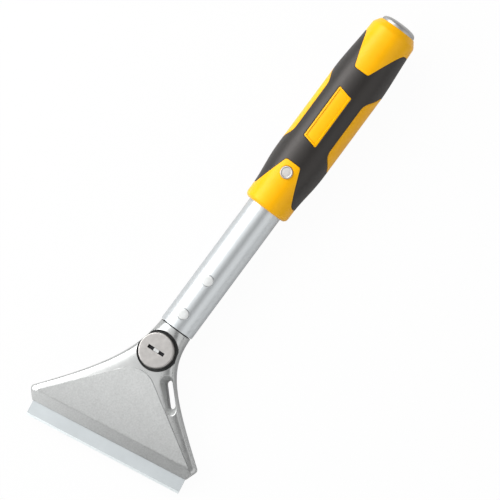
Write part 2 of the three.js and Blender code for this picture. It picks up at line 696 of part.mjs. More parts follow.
function handleForm() {
  const capRadius = tubeRadius + CAP_OVERHANG + FIT_GAP;
  const tail = HANDLE_LENGTH - END_CHAMFER_LENGTH;
  const profile = [[0, 0]];
  for (let step = 0; step <= CORNER_STEPS; step += 1) {
    const angle = (Math.PI / 2) * (step / CORNER_STEPS);
    profile.push([
      handleRadius(0) - HANDLE_FRONT_ROUND * (1 - Math.sin(angle)),
      HANDLE_FRONT_ROUND * (1 - Math.cos(angle)),
    ]);
  }
  for (let step = 1; step <= PROFILE_STEPS; step += 1) {
    const x = THREE.MathUtils.lerp(HANDLE_FRONT_ROUND, BELLY_START, step / PROFILE_STEPS);
    profile.push([handleRadius(x), x]);
  }
  for (let step = 0; step <= PROFILE_STEPS; step += 1) {
    const x = THREE.MathUtils.lerp(BELLY_END, tail, step / PROFILE_STEPS);
    profile.push([handleRadius(x), x]);
  }
  profile.push([capRadius + END_LAND, HANDLE_LENGTH], [0, HANDLE_LENGTH]);
  return turnedAlongX(profile, HANDLE_SIDES);
}

// Yellow end of the handle in plan, with a lug that narrows to its tip. It is drawn from the
// handle's end towards +X, and grown to leave the joint line.
function lugOutline(lugLength, tipWidth, sideLength, sideRadius, grow) {
  const spread = (lugLength - sideLength) / (sideRadius - tipWidth / 2);
  const wideX = sideLength - (handleHalf - sideRadius) * spread;
  const outside = wideX - HANDLE_LENGTH;
  return roundedOutline([
    [outside, -handleHalf],
    [wideX, -handleHalf],
    [lugLength, -tipWidth / 2],
    [lugLength, tipWidth / 2],
    [wideX, handleHalf],
    [outside, handleHalf],
  ], LUG_CORNER, grow);
}

// Everything yellow that comes up through the grip.
function handleIslands(grow) {
  const frontLug = lugOutline(
    FRONT_LUG_LENGTH, FRONT_LUG_TIP, FRONT_SIDE_LENGTH, handleRadius(FRONT_SIDE_LENGTH), grow,
  );
  const rearSide = handleRadius(HANDLE_LENGTH - REAR_SIDE_LENGTH);
  const rearLug = lugOutline(REAR_LUG_LENGTH, REAR_LUG_TIP, REAR_SIDE_LENGTH, rearSide, grow);
  const panel = roundedOutline([
    [PANEL_CENTRE - (PANEL_LENGTH + PANEL_LEAN) / 2, -PANEL_WIDTH / 2],
    [PANEL_CENTRE + (PANEL_LENGTH - PANEL_LEAN) / 2, -PANEL_WIDTH / 2],
    [PANEL_CENTRE + (PANEL_LENGTH + PANEL_LEAN) / 2, PANEL_WIDTH / 2],
    [PANEL_CENTRE - (PANEL_LENGTH - PANEL_LEAN) / 2, PANEL_WIDTH / 2],
  ], PANEL_CORNER, grow);
  const stripe = roundedOutline([
    [STRIPE_START, 0],
    [STRIPE_START + STRIPE_FRONT_SLANT, -STRIPE_HALF_HEIGHT],
    [STRIPE_END - STRIPE_REAR_SLANT, -STRIPE_HALF_HEIGHT],
    [STRIPE_END, 0],
    [STRIPE_END - STRIPE_REAR_SLANT, STRIPE_HALF_HEIGHT],
    [STRIPE_START + STRIPE_FRONT_SLANT, STRIPE_HALF_HEIGHT],
  ], STRIPE_CORNER, grow);
  return upright(frontLug, -handleHalf, handleHalf)
    .add(upright(rearLug, -handleHalf, handleHalf).rotate([0, 0, 180]).translate(HANDLE_LENGTH, 0, 0))
    .add(upright(panel, 0, handleHalf))
    .add(across(stripe, handleHalf));
}

function barrel(radius) {
  const ends = [-CUT_MARGIN, HANDLE_LENGTH + CUT_MARGIN];
  return turnedAlongX([[0, ends[0]], [radius, ends[0]], [radius, ends[1]], [0, ends[1]]], HANDLE_SIDES);
}

function coreBody() {
  const capHole = turnedAlongX([
    [0, HANDLE_LENGTH - CAP_POCKET - CUT_MARGIN],
    [tubeRadius + CAP_OVERHANG + FIT_GAP, HANDLE_LENGTH - CAP_POCKET - CUT_MARGIN],
    [tubeRadius + CAP_OVERHANG + FIT_GAP, HANDLE_LENGTH + CUT_MARGIN],
    [0, HANDLE_LENGTH + CUT_MARGIN],
  ], HANDLE_SIDES);
  const rivetHole = rivetCut(rivetSurface, HANDLE_RIVET_HEAD, HANDLE_RIVET_SHANK);
  return handleForm()
    .intersect(barrel(coreRadius).add(handleIslands(0)))
    .subtract(barrel(tubeRadius + FIT_GAP))
    .subtract(capHole)
    .subtract(rivetHole.translate(HANDLE_RIVET_SETBACK, 0, 0));
}

function gripBody() {
  return handleForm().subtract(barrel(coreRadius + FIT_GAP).add(handleIslands(FIT_GAP)));
}

function handleRivetBody() {
  const top = rivetSurface + HANDLE_RIVET_PROUD;
  const dish = HANDLE_RIVET_DISH / 2;
  return rivetBody(rivetSurface, HANDLE_RIVET_HEAD, HANDLE_RIVET_SHANK, [
    [HANDLE_RIVET_HEAD / 2, rivetSurface],
    [(HANDLE_RIVET_HEAD / 2 + dish) / 2, top],
    [dish, top - HANDLE_RIVET_DISH_DEPTH],
    [0, top - HANDLE_RIVET_DISH_DEPTH],
  ]);
}

// Finishes

const castAluminium = () => finish(0xb4b6b5, 0.42, 0.9);
const brightSteel = () => finish(0xc9ccca, 0.25, 1);
const satinTube = () => finish(0xcfd4d4, 0.3, 1);
const bladeSteel = () => finish(0xc8cfcf, 0.28, 1);
const darkSteel = () => finish(0x5c5d5e, 0.45, 1);
const yellowPlastic = () => finish(0xffb701, 0.38, 0);
const darkElastomer = () => finish(0x373131, 0.62, 0);

// Assembly

const head = new THREE.Group();
head.position.x = -HEAD_BEND;
head.rotation.z = HEAD_SKEW;
head.add(
  namedMesh('blade', bladeBody(), bladeSteel()),
  namedMesh('front_jaw', frontJawBody(), castAluminium()),
  namedMesh('rear_jaw', rearJawBody(), castAluminium()),
);
for (const [side, y] of guidePinSides) {
  const pin = namedMesh(`guide_pin_${side}`, guidePinBody(), brightSteel());
  pin.position.set(guidePinX, y, 0);
  head.add(pin);
}

const clamp = new THREE.Group();
clamp.position.x = -DIAL_SETBACK;
clamp.add(
  namedMesh('clamp_dial', dialBody(), brightSteel()),
  namedMesh('clamp_stud', studBody(), brightSteel()),
  namedMesh('dial_washer', washerBody(), darkSteel()),
  namedMesh('stud_clip', clipBody(), darkSteel()),
  namedMesh('clamp_nut', nutBody(), brightSteel()),
);

const shaft = new THREE.Group();
shaft.add(
  namedMesh('shaft_tube', tubeBody(), satinTube()),
  namedMesh('strike_cap', capBody(), brightSteel()),
);
for (const [place, x] of headRivetSpots) {
  const rivet = namedMesh(`head_rivet_${place}`, headRivetBody(), brightSteel());
  rivet.position.x = x;
  shaft.add(rivet);
}

const handle = new THREE.Group();
handle.position.x = TUBE_SHOWING;
const handleRivet = namedMesh('handle_rivet', handleRivetBody(), brightSteel());
handleRivet.position.x = HANDLE_RIVET_SETBACK;
handle.add(
  namedMesh('handle_core', coreBody(), yellowPlastic()),
  namedMesh('grip_sleeve', gripBody(), darkElastomer()),
  handleRivet,
);

// The origin lies under the middle of the whole tool, where it rests.
const scraper = new THREE.Group();
scraper.add(head, clamp, shaft, handle);
scraper.updateMatrixWorld(true);
const reach = new THREE.Box3().setFromObject(scraper, true);
const middle = reach.getCenter(new THREE.Vector3());
scraper.position.set(-middle.x, -middle.y, -reach.min.z);

export default scraper;
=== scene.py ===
"""Looks of the heavy-duty scraper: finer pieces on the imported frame, finishes and a studio."""

import math
from typing import Callable, NamedTuple

import bmesh
import bpy
import numpy as np
from bpy.props import FloatProperty, FloatVectorProperty, IntProperty, PointerProperty
from mathutils import Matrix, Vector
from mathutils.bvhtree import BVHTree
from mathutils.kdtree import KDTree


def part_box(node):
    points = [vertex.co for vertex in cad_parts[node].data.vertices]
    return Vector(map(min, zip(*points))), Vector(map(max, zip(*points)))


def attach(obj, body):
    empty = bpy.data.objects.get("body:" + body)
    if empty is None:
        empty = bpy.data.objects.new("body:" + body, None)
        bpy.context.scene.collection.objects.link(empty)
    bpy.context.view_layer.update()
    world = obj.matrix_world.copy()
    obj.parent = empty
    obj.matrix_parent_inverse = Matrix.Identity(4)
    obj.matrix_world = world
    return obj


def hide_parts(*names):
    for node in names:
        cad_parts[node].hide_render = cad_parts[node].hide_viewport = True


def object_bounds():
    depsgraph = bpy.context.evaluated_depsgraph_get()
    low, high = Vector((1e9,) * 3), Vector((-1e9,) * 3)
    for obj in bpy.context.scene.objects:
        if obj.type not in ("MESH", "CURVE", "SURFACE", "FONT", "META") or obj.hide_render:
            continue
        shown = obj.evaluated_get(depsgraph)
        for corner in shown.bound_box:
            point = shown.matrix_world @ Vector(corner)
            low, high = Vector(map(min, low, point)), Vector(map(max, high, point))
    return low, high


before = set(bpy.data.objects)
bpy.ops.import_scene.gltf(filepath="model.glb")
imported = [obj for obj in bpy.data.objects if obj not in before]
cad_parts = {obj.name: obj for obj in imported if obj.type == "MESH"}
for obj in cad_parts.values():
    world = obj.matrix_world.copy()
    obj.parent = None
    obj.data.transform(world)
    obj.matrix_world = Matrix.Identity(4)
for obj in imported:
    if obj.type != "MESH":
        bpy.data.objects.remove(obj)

bl_info = {
    "name": "Scraper pieces",
    "version": (1, 0, 0),
    "blender": (4, 5, 0),
    "location": "3D View > Sidebar > Scraper",
    "description": "Detailed pieces and finishes of a heavy-duty scraper on its packed frame",
    "category": "Object",
}

MM = 0.001
CAD_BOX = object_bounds()
TUBE_LOW, TUBE_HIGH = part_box("shaft_tube")

# Sizes and places in millimetres, as in the part's source. X runs along the tube on the shaft and
# on the handle. On the head it runs square to the cutting edge, and zero is where the head bends.
TUBE_RADIUS = 10.65
TUBE_BORE = 8.75
TUBE_END = 208.5
STEM_RADIUS = 8.45  # tang and cap stem, inside the tube
HEAD_RIVETS = (9.2, 32.8)
HEAD_RIVET_SEAT = 9.99
RIVET_GAP = 0.15
CAP_END = 216.8
CAP_RADIUS = 10.95
CAP_DOME = 3.8

HEAD_BEND = 37.5
HEAD_SKEW = math.radians(9.5)
COLLAR_RADIUS = 10.15
COLLAR_GAP = 0.6
EDGE_X = -47.0
BLADE_BACK_X = -25.0
BLADE_HALF = 50.0
BLADE_HALF_THICK = 0.4
BLADE_BEVEL = 1.3
BLADE_CORNER = 4
BLADE_LEVEL = -4.2
BLADE_SEAT_LEVEL = -4.75
LIP_FRONT_X = -37.9
LIP_BACK_X = -30.5
LIP_HALF = 50.4
LIP_TOP = 3.2
LIP_DEPTH = 9.0
SHOULDER_HALF = 54.5
SPLIT_LEVEL = -3.65
LIP_EDGE_LEVEL = SPLIT_LEVEL + 1.2
REAR_JAW_TOP = -3.95
PLATEAU_RISE = 0.2
GUIDE_PIN_X = -16.0
GUIDE_PIN_SIDES = {"left": 21.0, "right": -21.0}
FIELD_SIDE, FAR_DOWN = 60, -20  # past the head on both sides and below

DIAL_SETBACK = 16.6
DIAL_BOTTOM = 6.6
DIAL_TOP = 12.8
RECESS_LEVEL = 5.4
RECESS_RADIUS = 12
STUD_RADIUS = 3.0
NUT_BASE = -9.88
NUT_BORE = 3.3

HANDLE_START = 85.3
HANDLE_LENGTH = 127.7
CORE_RADIUS = 12.95
CORE_BORE = TUBE_RADIUS + 0.3
NOSE_ROUND = 3
BELLY_X = 37.0
HANDLE_RIVET_X = 23.9
RIVET_POCKET = 4.1

SHAFT = Matrix.Translation(
    (TUBE_LOW.x, (TUBE_LOW.y + TUBE_HIGH.y) / 2, (TUBE_LOW.z + TUBE_HIGH.z) / 2)
) @ Matrix.Scale(MM, 4)
HEAD = SHAFT @ Matrix.Translation((-HEAD_BEND, 0, 0)) @ Matrix.Rotation(HEAD_SKEW, 4, "Z")
CLAMP = SHAFT @ Matrix.Translation((-DIAL_SETBACK, 0, 0))
HANDLE = SHAFT @ Matrix.Translation((HANDLE_START, 0, 0))

# The piece that stands for each CAD node, with its body and its material slot
PIECES = {
    "front_jaw": ("front_jaw_casting", "tool_body", "cast_aluminium"),
    "rear_jaw": ("rear_jaw_casting", "moving_jaw", "cast_aluminium"),
    "blade": ("blade_strip", "blade_strip", "blade_steel"),
    "clamp_dial": ("knurled_dial", "clamp_screw", "dial_steel"),
    "clamp_stud": ("clamp_stud_bar", "clamp_screw", "bright_steel"),
    "clamp_nut": ("clamp_nut_insert", "moving_jaw", "bright_steel"),
    "dial_washer": ("dial_washer_ring", "tool_body", "dark_steel"),
    "guide_pin_left": ("guide_pin_left_bar", "tool_body", "bright_steel"),
    "guide_pin_right": ("guide_pin_right_bar", "tool_body", "bright_steel"),
    "shaft_tube": ("satin_shaft_tube", "tool_body", "satin_tube"),
    "head_rivet_lower": ("head_rivet_lower_bar", "tool_body", "bright_steel"),
    "head_rivet_upper": ("head_rivet_upper_bar", "tool_body", "bright_steel"),
    "handle_rivet": ("handle_rivet_bar", "tool_body", "bright_steel"),
    "strike_cap": ("domed_strike_cap", "tool_body", "cap_steel"),
    "handle_core": ("yellow_handle_core", "tool_body", "yellow_plastic"),
    "grip_sleeve": ("dark_grip_sleeve", "tool_body", "dark_elastomer"),
}


# Sizes, colours and lamps that a user would change

def length_property(name, description, default, low, high):
    return FloatProperty(name=name, description=f"{description}, in millimetres",
                         default=default, min=low, max=high)


def colour_property(name, description, default):
    return FloatVectorProperty(name=name, description=description, subtype="COLOR",
                               default=default, min=0, max=1)


def power_property(name, description, default):
    return FloatProperty(name=name, description=f"Power of the {description}, in watts",
                         unit="POWER", default=default, min=0)


class ScraperSizes(bpy.types.PropertyGroup):
    """Sizes of the fine forms."""

    casting_edge: length_property(
        "Casting edge", "Width of the soft edges on the castings", 0.3, 0.05, 1.0)
    machined_edge: length_property(
        "Machined edge", "Width of the soft edges on turned steel", 0.2, 0.02, 0.6)
    moulded_edge: length_property(
        "Moulded edge", "Radius at the rims of the yellow plastic", 0.3, 0.05, 1.0)
    seam: length_property(
        "Grip seam", "Joint between the grip and the yellow plastic", 0.1, 0.02, 0.3)
    panel_border: length_property(
        "Panel border", "Width of the raised border of the panel", 0.9, 0.3, 2.0)
    panel_sink: length_property(
        "Panel sink", "Depth of the panel's floor below its border", 0.6, 0.1, 1.0)
    knurl_depth: length_property(
        "Knurl depth", "Depth of the grooves round the dial", 0.4, 0.1, 0.8)
    knurl_teeth: IntProperty(
        name="Knurl teeth", description="Grooves round the dial", default=84, min=24, max=120)


class ScraperColours(bpy.types.PropertyGroup):
    """Base colours of the finishes."""

    aluminium: colour_property(
        "Cast aluminium", "Blasted and tumbled castings", (0.63, 0.64, 0.635))
    tube: colour_property("Tube", "Satin tube", (0.64, 0.667, 0.68))
    blade: colour_property("Blade", "Ground strip steel", (0.54, 0.575, 0.59))
    steel: colour_property(
        "Bright steel", "Dial, rivets and other plated steel", (0.47, 0.455, 0.44))
    cap: colour_property("Cap steel", "Polished strike cap", (0.45, 0.45, 0.445))
    # This colour also paints shade into the dial's coin slot.
    black_steel: colour_property("Blackened steel", "Washer and clip", (0.05, 0.05, 0.053))
    yellow: colour_property("Yellow plastic", "Handle moulding", (1.0, 0.48, 0.0))
    grip: colour_property("Grip", "Dark elastomer", (0.0085, 0.0074, 0.0068))


class ScraperStudio(bpy.types.PropertyGroup):
    """Lamps and room."""

    key_power: power_property("Key light", "soft light on the left", 8.9)
    skirt_power: power_property("Skirt light", "weaker strip below the key", 1.1)
    shoulder_power: power_property("Shoulder light", "strip between key and top", 2.0)
    top_power: power_property("Top light", "soft light above", 1.55)
    card_power: power_property("Side card", "soft light on the right", 2.45)
    lip_power: power_property("Lip card", "small light in front of the lip", 0.07)
    room: FloatProperty(
        name="Room", description="Strength of the grey room", default=0.24, min=0, max=1)


# Nodes of the finishes

def add_node(tree, kind, values, links, **settings):
    """A new node with its settings, its plain inputs and the sockets that feed it."""
    node = tree.nodes.new(kind)
    for name, setting in settings.items():
        setattr(node, name, setting)
    for name, value in values.items():
        node.inputs[name].default_value = value
    for name, source in links.items():
        tree.links.new(source, node.inputs[name])
    return node


def stretched(tree, spot, scale, turn=0.0):
    """Object coordinates, turned about Z and then drawn out along their axes."""
    values = {"Scale": scale, "Rotation": (0, 0, turn)}
    return add_node(tree, "ShaderNodeMapping", values, {"Vector": spot}).outputs["Vector"]


def noise(tree, spot, scale, detail=3.0):
    """Cloudy pattern whose scale counts features in a metre."""
    values = {"Scale": scale, "Detail": detail, "Roughness": 0.55}
    return add_node(tree, "ShaderNodeTexNoise", values, {"Vector": spot}).outputs["Fac"]


def between(tree, pattern, low, high):
    """A cloudy pattern, which mostly lies from 0.3 to 0.7, carried onto the values low to high."""
    values = {"From Min": 0.3, "From Max": 0.7, "To Min": low, "To Max": high}
    return add_node(tree, "ShaderNodeMapRange", values, {"Value": pattern}).outputs["Result"]


def summed(tree, first, second, share):
    """Two patterns in one, with the second's share."""
    links = {"A": first, "B": second}
    return add_node(tree, "ShaderNodeMix", {"Factor": share}, links).outputs["Result"]


def shade(colour, factor):
    """A colour made darker or lighter, by one factor or by one for each channel."""
    factors = factor if isinstance(factor, tuple) else (factor,) * 3
    return tuple(min(1.0, channel * by) for channel, by in zip(colour, factors))


# Patterns of the finishes: what tints the colour, what varies the gloss and what stands in relief

def blasted(tree, spot):
    """Bead-blasted casting: dense small dimples and a faint cloudiness."""
    mixed = summed(tree, noise(tree, spot, 140), noise(tree, spot, 1000), 0.85)
    return mixed, mixed, noise(tree, spot, 1900, detail=2.0)


def tumbled(tree, spot):
    """Tumbled casting: a soft unevenness and hair-fine rubbing."""
    waves = noise(tree, spot, 160, detail=2.0)
    rubbing = noise(tree, stretched(tree, spot, (1, 0.25, 1), 0.8), 1500)
    return waves, summed(tree, waves, rubbing, 0.5), rubbing


def as_cast(tree, spot):
    """Grain of the castings' skin as it leaves the mould: on the inner faces, whose dark shades are
    painted shade, and in the hanging slot's pocket.
    """
    grains = noise(tree, spot, 1100, detail=4.0)
    return grains, grains, grains


def ground_flat(tree, spot):
    """Strip steel with fine grinding lines across the blade."""
    lines = noise(tree, stretched(tree, spot, (0.04, 1, 1), -HEAD_SKEW), 3200, detail=2.0)
    return noise(tree, spot, 60), lines, lines


def ground_bevel(tree, spot):
    """Grinding lines on the freshly ground bevel at the cutting edge, whose finish is lightened as
    a painted highlight.
    """
    lines = noise(tree, stretched(tree, spot, (0.05, 1, 1), -HEAD_SKEW), 5200, detail=2.0)
    return lines, lines, lines


def brushed(tree, spot):
    """Satin tube: fine lines round it, drawn out along the shaft by handling."""
    rings = noise(tree, stretched(tree, spot, (1, 0.03, 0.03)), 4200, detail=2.0)
    drawn = noise(tree, stretched(tree, spot, (0.05, 1, 1)), 420)
    return drawn, summed(tree, rings, drawn, 0.4), rings


def tool_marked(tree, spot):
    """Turned and plated steel: a little cloudiness and fine tool marks."""
    marks = noise(tree, stretched(tree, spot, (1, 1, 0.2)), 2600, detail=2.0)
    clouds = noise(tree, spot, 320, detail=4.0)
    mixed = summed(tree, clouds, marks, 0.4)
    return clouds, mixed, mixed


def eroded(tree, spot):
    """Semi-gloss plastic: a fine eroded texture and hardly seen flow clouds."""
    texture = noise(tree, spot, 2400, detail=2.0)
    clouds = noise(tree, spot, 70)
    return clouds, summed(tree, clouds, texture, 0.5), texture


def grained(tree, spot):
    """Matte elastomer: a fine grain and a faint bloom of handling."""
    grain = noise(tree, spot, 2100, detail=2.5)
    bloom = noise(tree, spot, 55, detail=4.0)
    return bloom, summed(tree, bloom, grain, 0.5), grain


class Finish(NamedTuple):
    """A finish: its base colour, its pattern and the values that the pattern varies between.

    The relief holds a depth in metres and a strength, and the coat further inputs of the shader.
    """

    colour: str
    pattern: Callable
    shades: tuple
    roughness: tuple
    relief: tuple
    metallic: float = 1.0
    coat: tuple = ()


def plated(colour, brightness, roughness):
    shades = (0.9 * brightness, 1.08 * brightness)
    return Finish(colour, tool_marked, shades, roughness, (0.00002, 0.25))


YELLOW_COAT = (
    ("IOR", 1.5), ("Specular IOR Level", 0.42), ("Specular Tint", (1.0, 0.9, 0.5, 1)))
GRIP_COAT = (
    ("IOR", 1.52), ("Specular IOR Level", 0.57), ("Specular Tint", (1.0, 0.95, 0.92, 1)))

# Their names differ from those of the materials that the frame brings.
FINISHES = {
    "blasted_aluminium": Finish(
        "aluminium", blasted, (0.76, 0.95), (0.42, 0.54), (0.00006, 0.5)),
    "tumbled_aluminium": Finish(
        "aluminium", tumbled, (0.79, 0.86), (0.24, 0.36), (0.00004, 0.2)),
    # Very dark casting: painted shade in the dial recess, the collar's gap, the split faces and the
    # rear jaw's top under the blade.
    "raw_casting": Finish(
        "aluminium", as_cast, (0.07, 0.17), (0.45, 0.62), (0.00008, 0.5)),
    "pocket_casting": Finish(
        "aluminium", as_cast, (0.8, 0.98), (0.45, 0.62), (0.00008, 0.5), metallic=0.4),
    "ground_strip": Finish(
        "blade", ground_flat, (0.96, 1.05), (0.30, 0.40), (0.00001, 0.25)),
    # The bevel's colour is lifted far above the blade's as a painted highlight.
    "ground_edge": Finish(
        "blade", ground_bevel, (1.55, 1.75), (0.36, 0.46), (0.00001, 0.3)),
    "brushed_tube": Finish(
        "tube", brushed, (0.985, 1.015), (0.38, 0.41), (0.000002, 0.1)),
    "turned_dial": plated("steel", 1.0, (0.34, 0.46)),
    "rivet_steel": plated("steel", 1.15, (0.42, 0.52)),
    "bright_rivet": plated("aluminium", 1.08, (0.4, 0.5)),
    "struck_cap": plated("cap", 1.0, (0.38, 0.48)),
    # Blackened washer and clip; on the dial it also darkens the coin slot, partly as blackened
    # steel and partly as painted shade.
    "black_steel": plated("black_steel", 1.0, (0.4, 0.55)),
    "moulded_yellow": Finish(
        "yellow", eroded, ((0.97, 0.95, 1.0), (1.0, 1.04, 1.0)), (0.28, 0.36), (0.00003, 0.18),
        metallic=0.0, coat=YELLOW_COAT),
    "grained_elastomer": Finish(
        "grip", grained, (0.88, 1.22), (0.37, 0.48), (0.00004, 0.25),
        metallic=0.0, coat=GRIP_COAT),
}


def finish(name):
    """The named finish, made at its first use."""
    if name in bpy.data.materials:
        return bpy.data.materials[name]
    recipe = FINISHES[name]
    colour = getattr(bpy.context.scene.scraper_colours, recipe.colour)
    material = bpy.data.materials.new(name)
    material.use_nodes = True
    tree = material.node_tree
    shader = tree.nodes["Principled BSDF"]
    spot = tree.nodes.new("ShaderNodeTexCoord").outputs["Object"]
    tint, gloss, height = recipe.pattern(tree, spot)

    dark, light = ((*shade(colour, factor), 1) for factor in recipe.shades)
    base = add_node(tree, "ShaderNodeMix", {"A": dark, "B": light},
                    {"Factor": between(tree, tint, 0, 1)}, data_type="RGBA")
    depth, strength = recipe.relief
    bump = add_node(tree, "ShaderNodeBump", {"Strength": strength, "Distance": depth},
                    {"Height": height})
    tree.links.new(base.outputs["Result"], shader.inputs["Base Color"])
    tree.links.new(between(tree, gloss, *recipe.roughness), shader.inputs["Roughness"])
    tree.links.new(bump.outputs["Normal"], shader.inputs["Normal"])
    for socket, value in (("Metallic", recipe.metallic), *recipe.coat):
        shader.inputs[socket].default_value = value
    return material


# Mesh helpers. Shapes are drawn in millimetres and carried into the frame at the end.

SHARP_TURN = 0.6  # an edge that turns by more, in radians, is sharp
SLIVER = 0.02
OTHER_WAY = (Matrix.Rotation(1.1, 4, "Z") @ Matrix.Rotation(0.77, 4, "Y")
             @ Matrix.Rotation(0.44, 4, "X"))


def as_object(shape, name):
    """Object for a finished bmesh."""
    mesh = bpy.data.meshes.new(name)
    shape.to_mesh(mesh)
    shape.free()
    thing = bpy.data.objects.new(name, mesh)
    bpy.context.scene.collection.objects.link(thing)
    return thing


def combined(shape, tool, operation):
    """Two closed shapes cut from, joined with or crossed by each other.

    Where slivers lie at a shape's end along X, the solver can take the inside for the outside.
    What it gives then has a volume below zero, so the shapes are turned and combined again.
    """
    body, other = as_object(shape, "draft_body"), as_object(tool, "draft_tool")
    change = body.modifiers.new("combine", "BOOLEAN")
    change.operation = operation
    change.solver = "EXACT"
    change.object = other
    result = bmesh.new()
    turn = Matrix.Identity(4)
    for _ in range(8):
        graph = bpy.context.evaluated_depsgraph_get()
        result.clear()
        result.from_mesh(body.evaluated_get(graph).to_mesh())
        if result.calc_volume(signed=True) > 0:
            break
        turn = OTHER_WAY @ turn
        for draft in (body, other):
            draft.data.transform(OTHER_WAY)
            draft.data.update_tag()
    else:
        raise RuntimeError(f"{operation} gives no closed shape")
    for draft in (body, other):
        mesh = draft.data
        bpy.data.objects.remove(draft)
        bpy.data.meshes.remove(mesh)
    return placed(result, turn.inverted())


def cut(shape, *tools):
    for tool in tools:
        shape = combined(shape, tool, "DIFFERENCE")
    return shape


def joined(*shapes):
    """Separate shells in one bmesh."""
    result = bmesh.new()
    for shape in shapes:
        mesh = bpy.data.meshes.new("draft")
        shape.to_mesh(mesh)
        shape.free()
        result.from_mesh(mesh)
        bpy.data.meshes.remove(mesh)
    return result


def moved(shape, offset):
    bmesh.ops.translate(shape, verts=shape.verts, vec=offset)
    return shape


def placed(shape, matrix):
    bmesh.ops.transform(shape, matrix=matrix, verts=shape.verts)
    return shape


def facing_out(shape):
    """Weld a shape where it meets itself, and turn its faces outward."""
    bmesh.ops.remove_doubles(shape, verts=shape.verts, dist=1e-4)
    bmesh.ops.recalc_face_normals(shape, faces=shape.faces)
    return shape


def closed(shape):
    """Fill the open ends of a shape."""
    rims = [edge for edge in shape.edges if edge.is_boundary]
    bmesh.ops.holes_fill(shape, edges=rims, sides=0)
    return facing_out(shape)


def sharp_edges(shape, angle):
    return [edge for edge in shape.edges
            if len(edge.link_faces) == 2 and edge.calc_face_angle(0) > angle]


def all_of(shape):
    return list(shape.verts) + list(shape.edges) + list(shape.faces)


def drawn_in(shape, reach=0.35):
    """Take out the short edges that end on a sharp edge, so that its bevel has room."""
    bmesh.ops.remove_doubles(shape, verts=shape.verts, dist=2 * SLIVER)
    bmesh.ops.dissolve_degenerate(shape, edges=shape.edges, dist=SLIVER)
    for _ in range(2):
        sharp = {vertex for edge in sharp_edges(shape, SHARP_TURN) for vertex in edge.verts}
        moves = {}
        for vertex in shape.verts:
            if vertex not in sharp:
                short = [edge for edge in vertex.link_edges
                         if edge.other_vert(vertex) in sharp and edge.calc_length() < reach]
                if short:
                    nearest = min(short, key=lambda edge: edge.calc_length())
                    moves[vertex] = nearest.other_vert(vertex)
        bmesh.ops.weld_verts(shape, targetmap=moves)
        bmesh.ops.dissolve_degenerate(shape, edges=shape.edges, dist=SLIVER)
    return shape


def spots_along(edges, step):
    """Search tree of points along some edges."""
    spots = []
    for edge in edges:
        start, end = (vertex.co.copy() for vertex in edge.verts)
        count = max(1, math.ceil((end - start).length / step))
        spots += [start.lerp(end, index / count) for index in range(count + 1)]
    near = KDTree(len(spots))
    for index, spot in enumerate(spots):
        near.insert(spot, index)
    near.balance()
    return near


def softened(shape, width, angle=SHARP_TURN, segments=2):
    """Bevel the edges that turn by more than an angle."""
    bmesh.ops.bevel(shape, geom=sharp_edges(shape, angle), affect="EDGES", offset=width,
                    segments=segments, profile=0.5, material=-1, clamp_overlap=True)
    return shape


def softened_casting(shape, width):
    """Bevel a casting's sharp edges, with no corner of the bevel far from its edge or its skin."""
    shape = drawn_in(shape)
    edges = sharp_edges(shape, SHARP_TURN)
    near = spots_along(edges, width / 2)
    skin = BVHTree.FromBMesh(shape)
    made = bmesh.ops.bevel(shape, geom=edges, affect="EDGES", offset=width, segments=2,
                           profile=0.5, material=-1, clamp_overlap=False)
    for vertex in made["verts"]:
        spot, _, gap = near.find(vertex.co)
        if gap > 1.3 * width:
            vertex.co = spot.lerp(vertex.co, width / gap)
        spot, normal, _, gap = skin.find_nearest(vertex.co)
        if gap > 0.5 * width or (vertex.co - spot).dot(normal) > SLIVER:
            vertex.co = spot
    return shape


def rolled(columns, rows, place):
    """A grid carried to place(column, row), whose last column meets the first."""
    shape = bmesh.new()
    bmesh.ops.create_grid(shape, x_segments=columns, y_segments=rows, size=0.5)
    for vertex in shape.verts:
        column, row = round((vertex.co.x + 0.5) * columns), round((vertex.co.y + 0.5) * rows)
        vertex.co = place(column % columns, row)
    return facing_out(shape)


def turned(profile, axis, steps):
    """An outline of radius and distance, spun round the X or Z axis."""
    shape = bmesh.new()
    if axis == "X":
        verts = [shape.verts.new((along, 0, radius)) for radius, along in profile]
    else:
        verts = [shape.verts.new((radius, 0, along)) for radius, along in profile]
    edges = [shape.edges.new(pair) for pair in zip(verts, verts[1:])]
    bmesh.ops.spin(shape, geom=verts + edges, cent=(0, 0, 0), axis=(axis == "X", 0, axis == "Z"),
                   angle=math.tau, steps=steps, use_merge=True)
    return facing_out(shape)


def block(low, high):
    """Block between two corners."""
    shape = bmesh.new()
    bmesh.ops.create_cube(shape, size=1)
    bmesh.ops.scale(shape, verts=shape.verts, vec=Vector(high) - Vector(low))
    return moved(shape, (Vector(high) + Vector(low)) / 2)


def post(radius, bottom, top, x=0.0, y=0.0, steps=64):
    """Upright round bar."""
    shape = bmesh.new()
    bmesh.ops.create_cone(shape, cap_ends=True, segments=steps, radius1=radius, radius2=radius,
                          depth=top - bottom)
    return moved(shape, (x, y, (top + bottom) / 2))


def both_posts(radius, inner, outer, x, steps=64):
    """A post above the tube and one below it."""
    return [post(radius, *sorted((side * inner, side * outer)), x, steps=steps)
            for side in (1, -1)]


def prism(points, direction):
    """A flat outline carried along a direction."""
    shape = bmesh.new()
    face = shape.faces.new([shape.verts.new(point) for point in points])
    made = bmesh.ops.extrude_face_region(shape, geom=[face])["geom"]
    bmesh.ops.translate(shape, vec=direction,
                        verts=[part for part in made if isinstance(part, bmesh.types.BMVert)])
    return facing_out(shape)


def bent(start, corner, end, share):
    """Point of a curve that rounds a corner."""
    rest = 1 - share
    return start * rest ** 2 + corner * 2 * rest * share + end * share ** 2


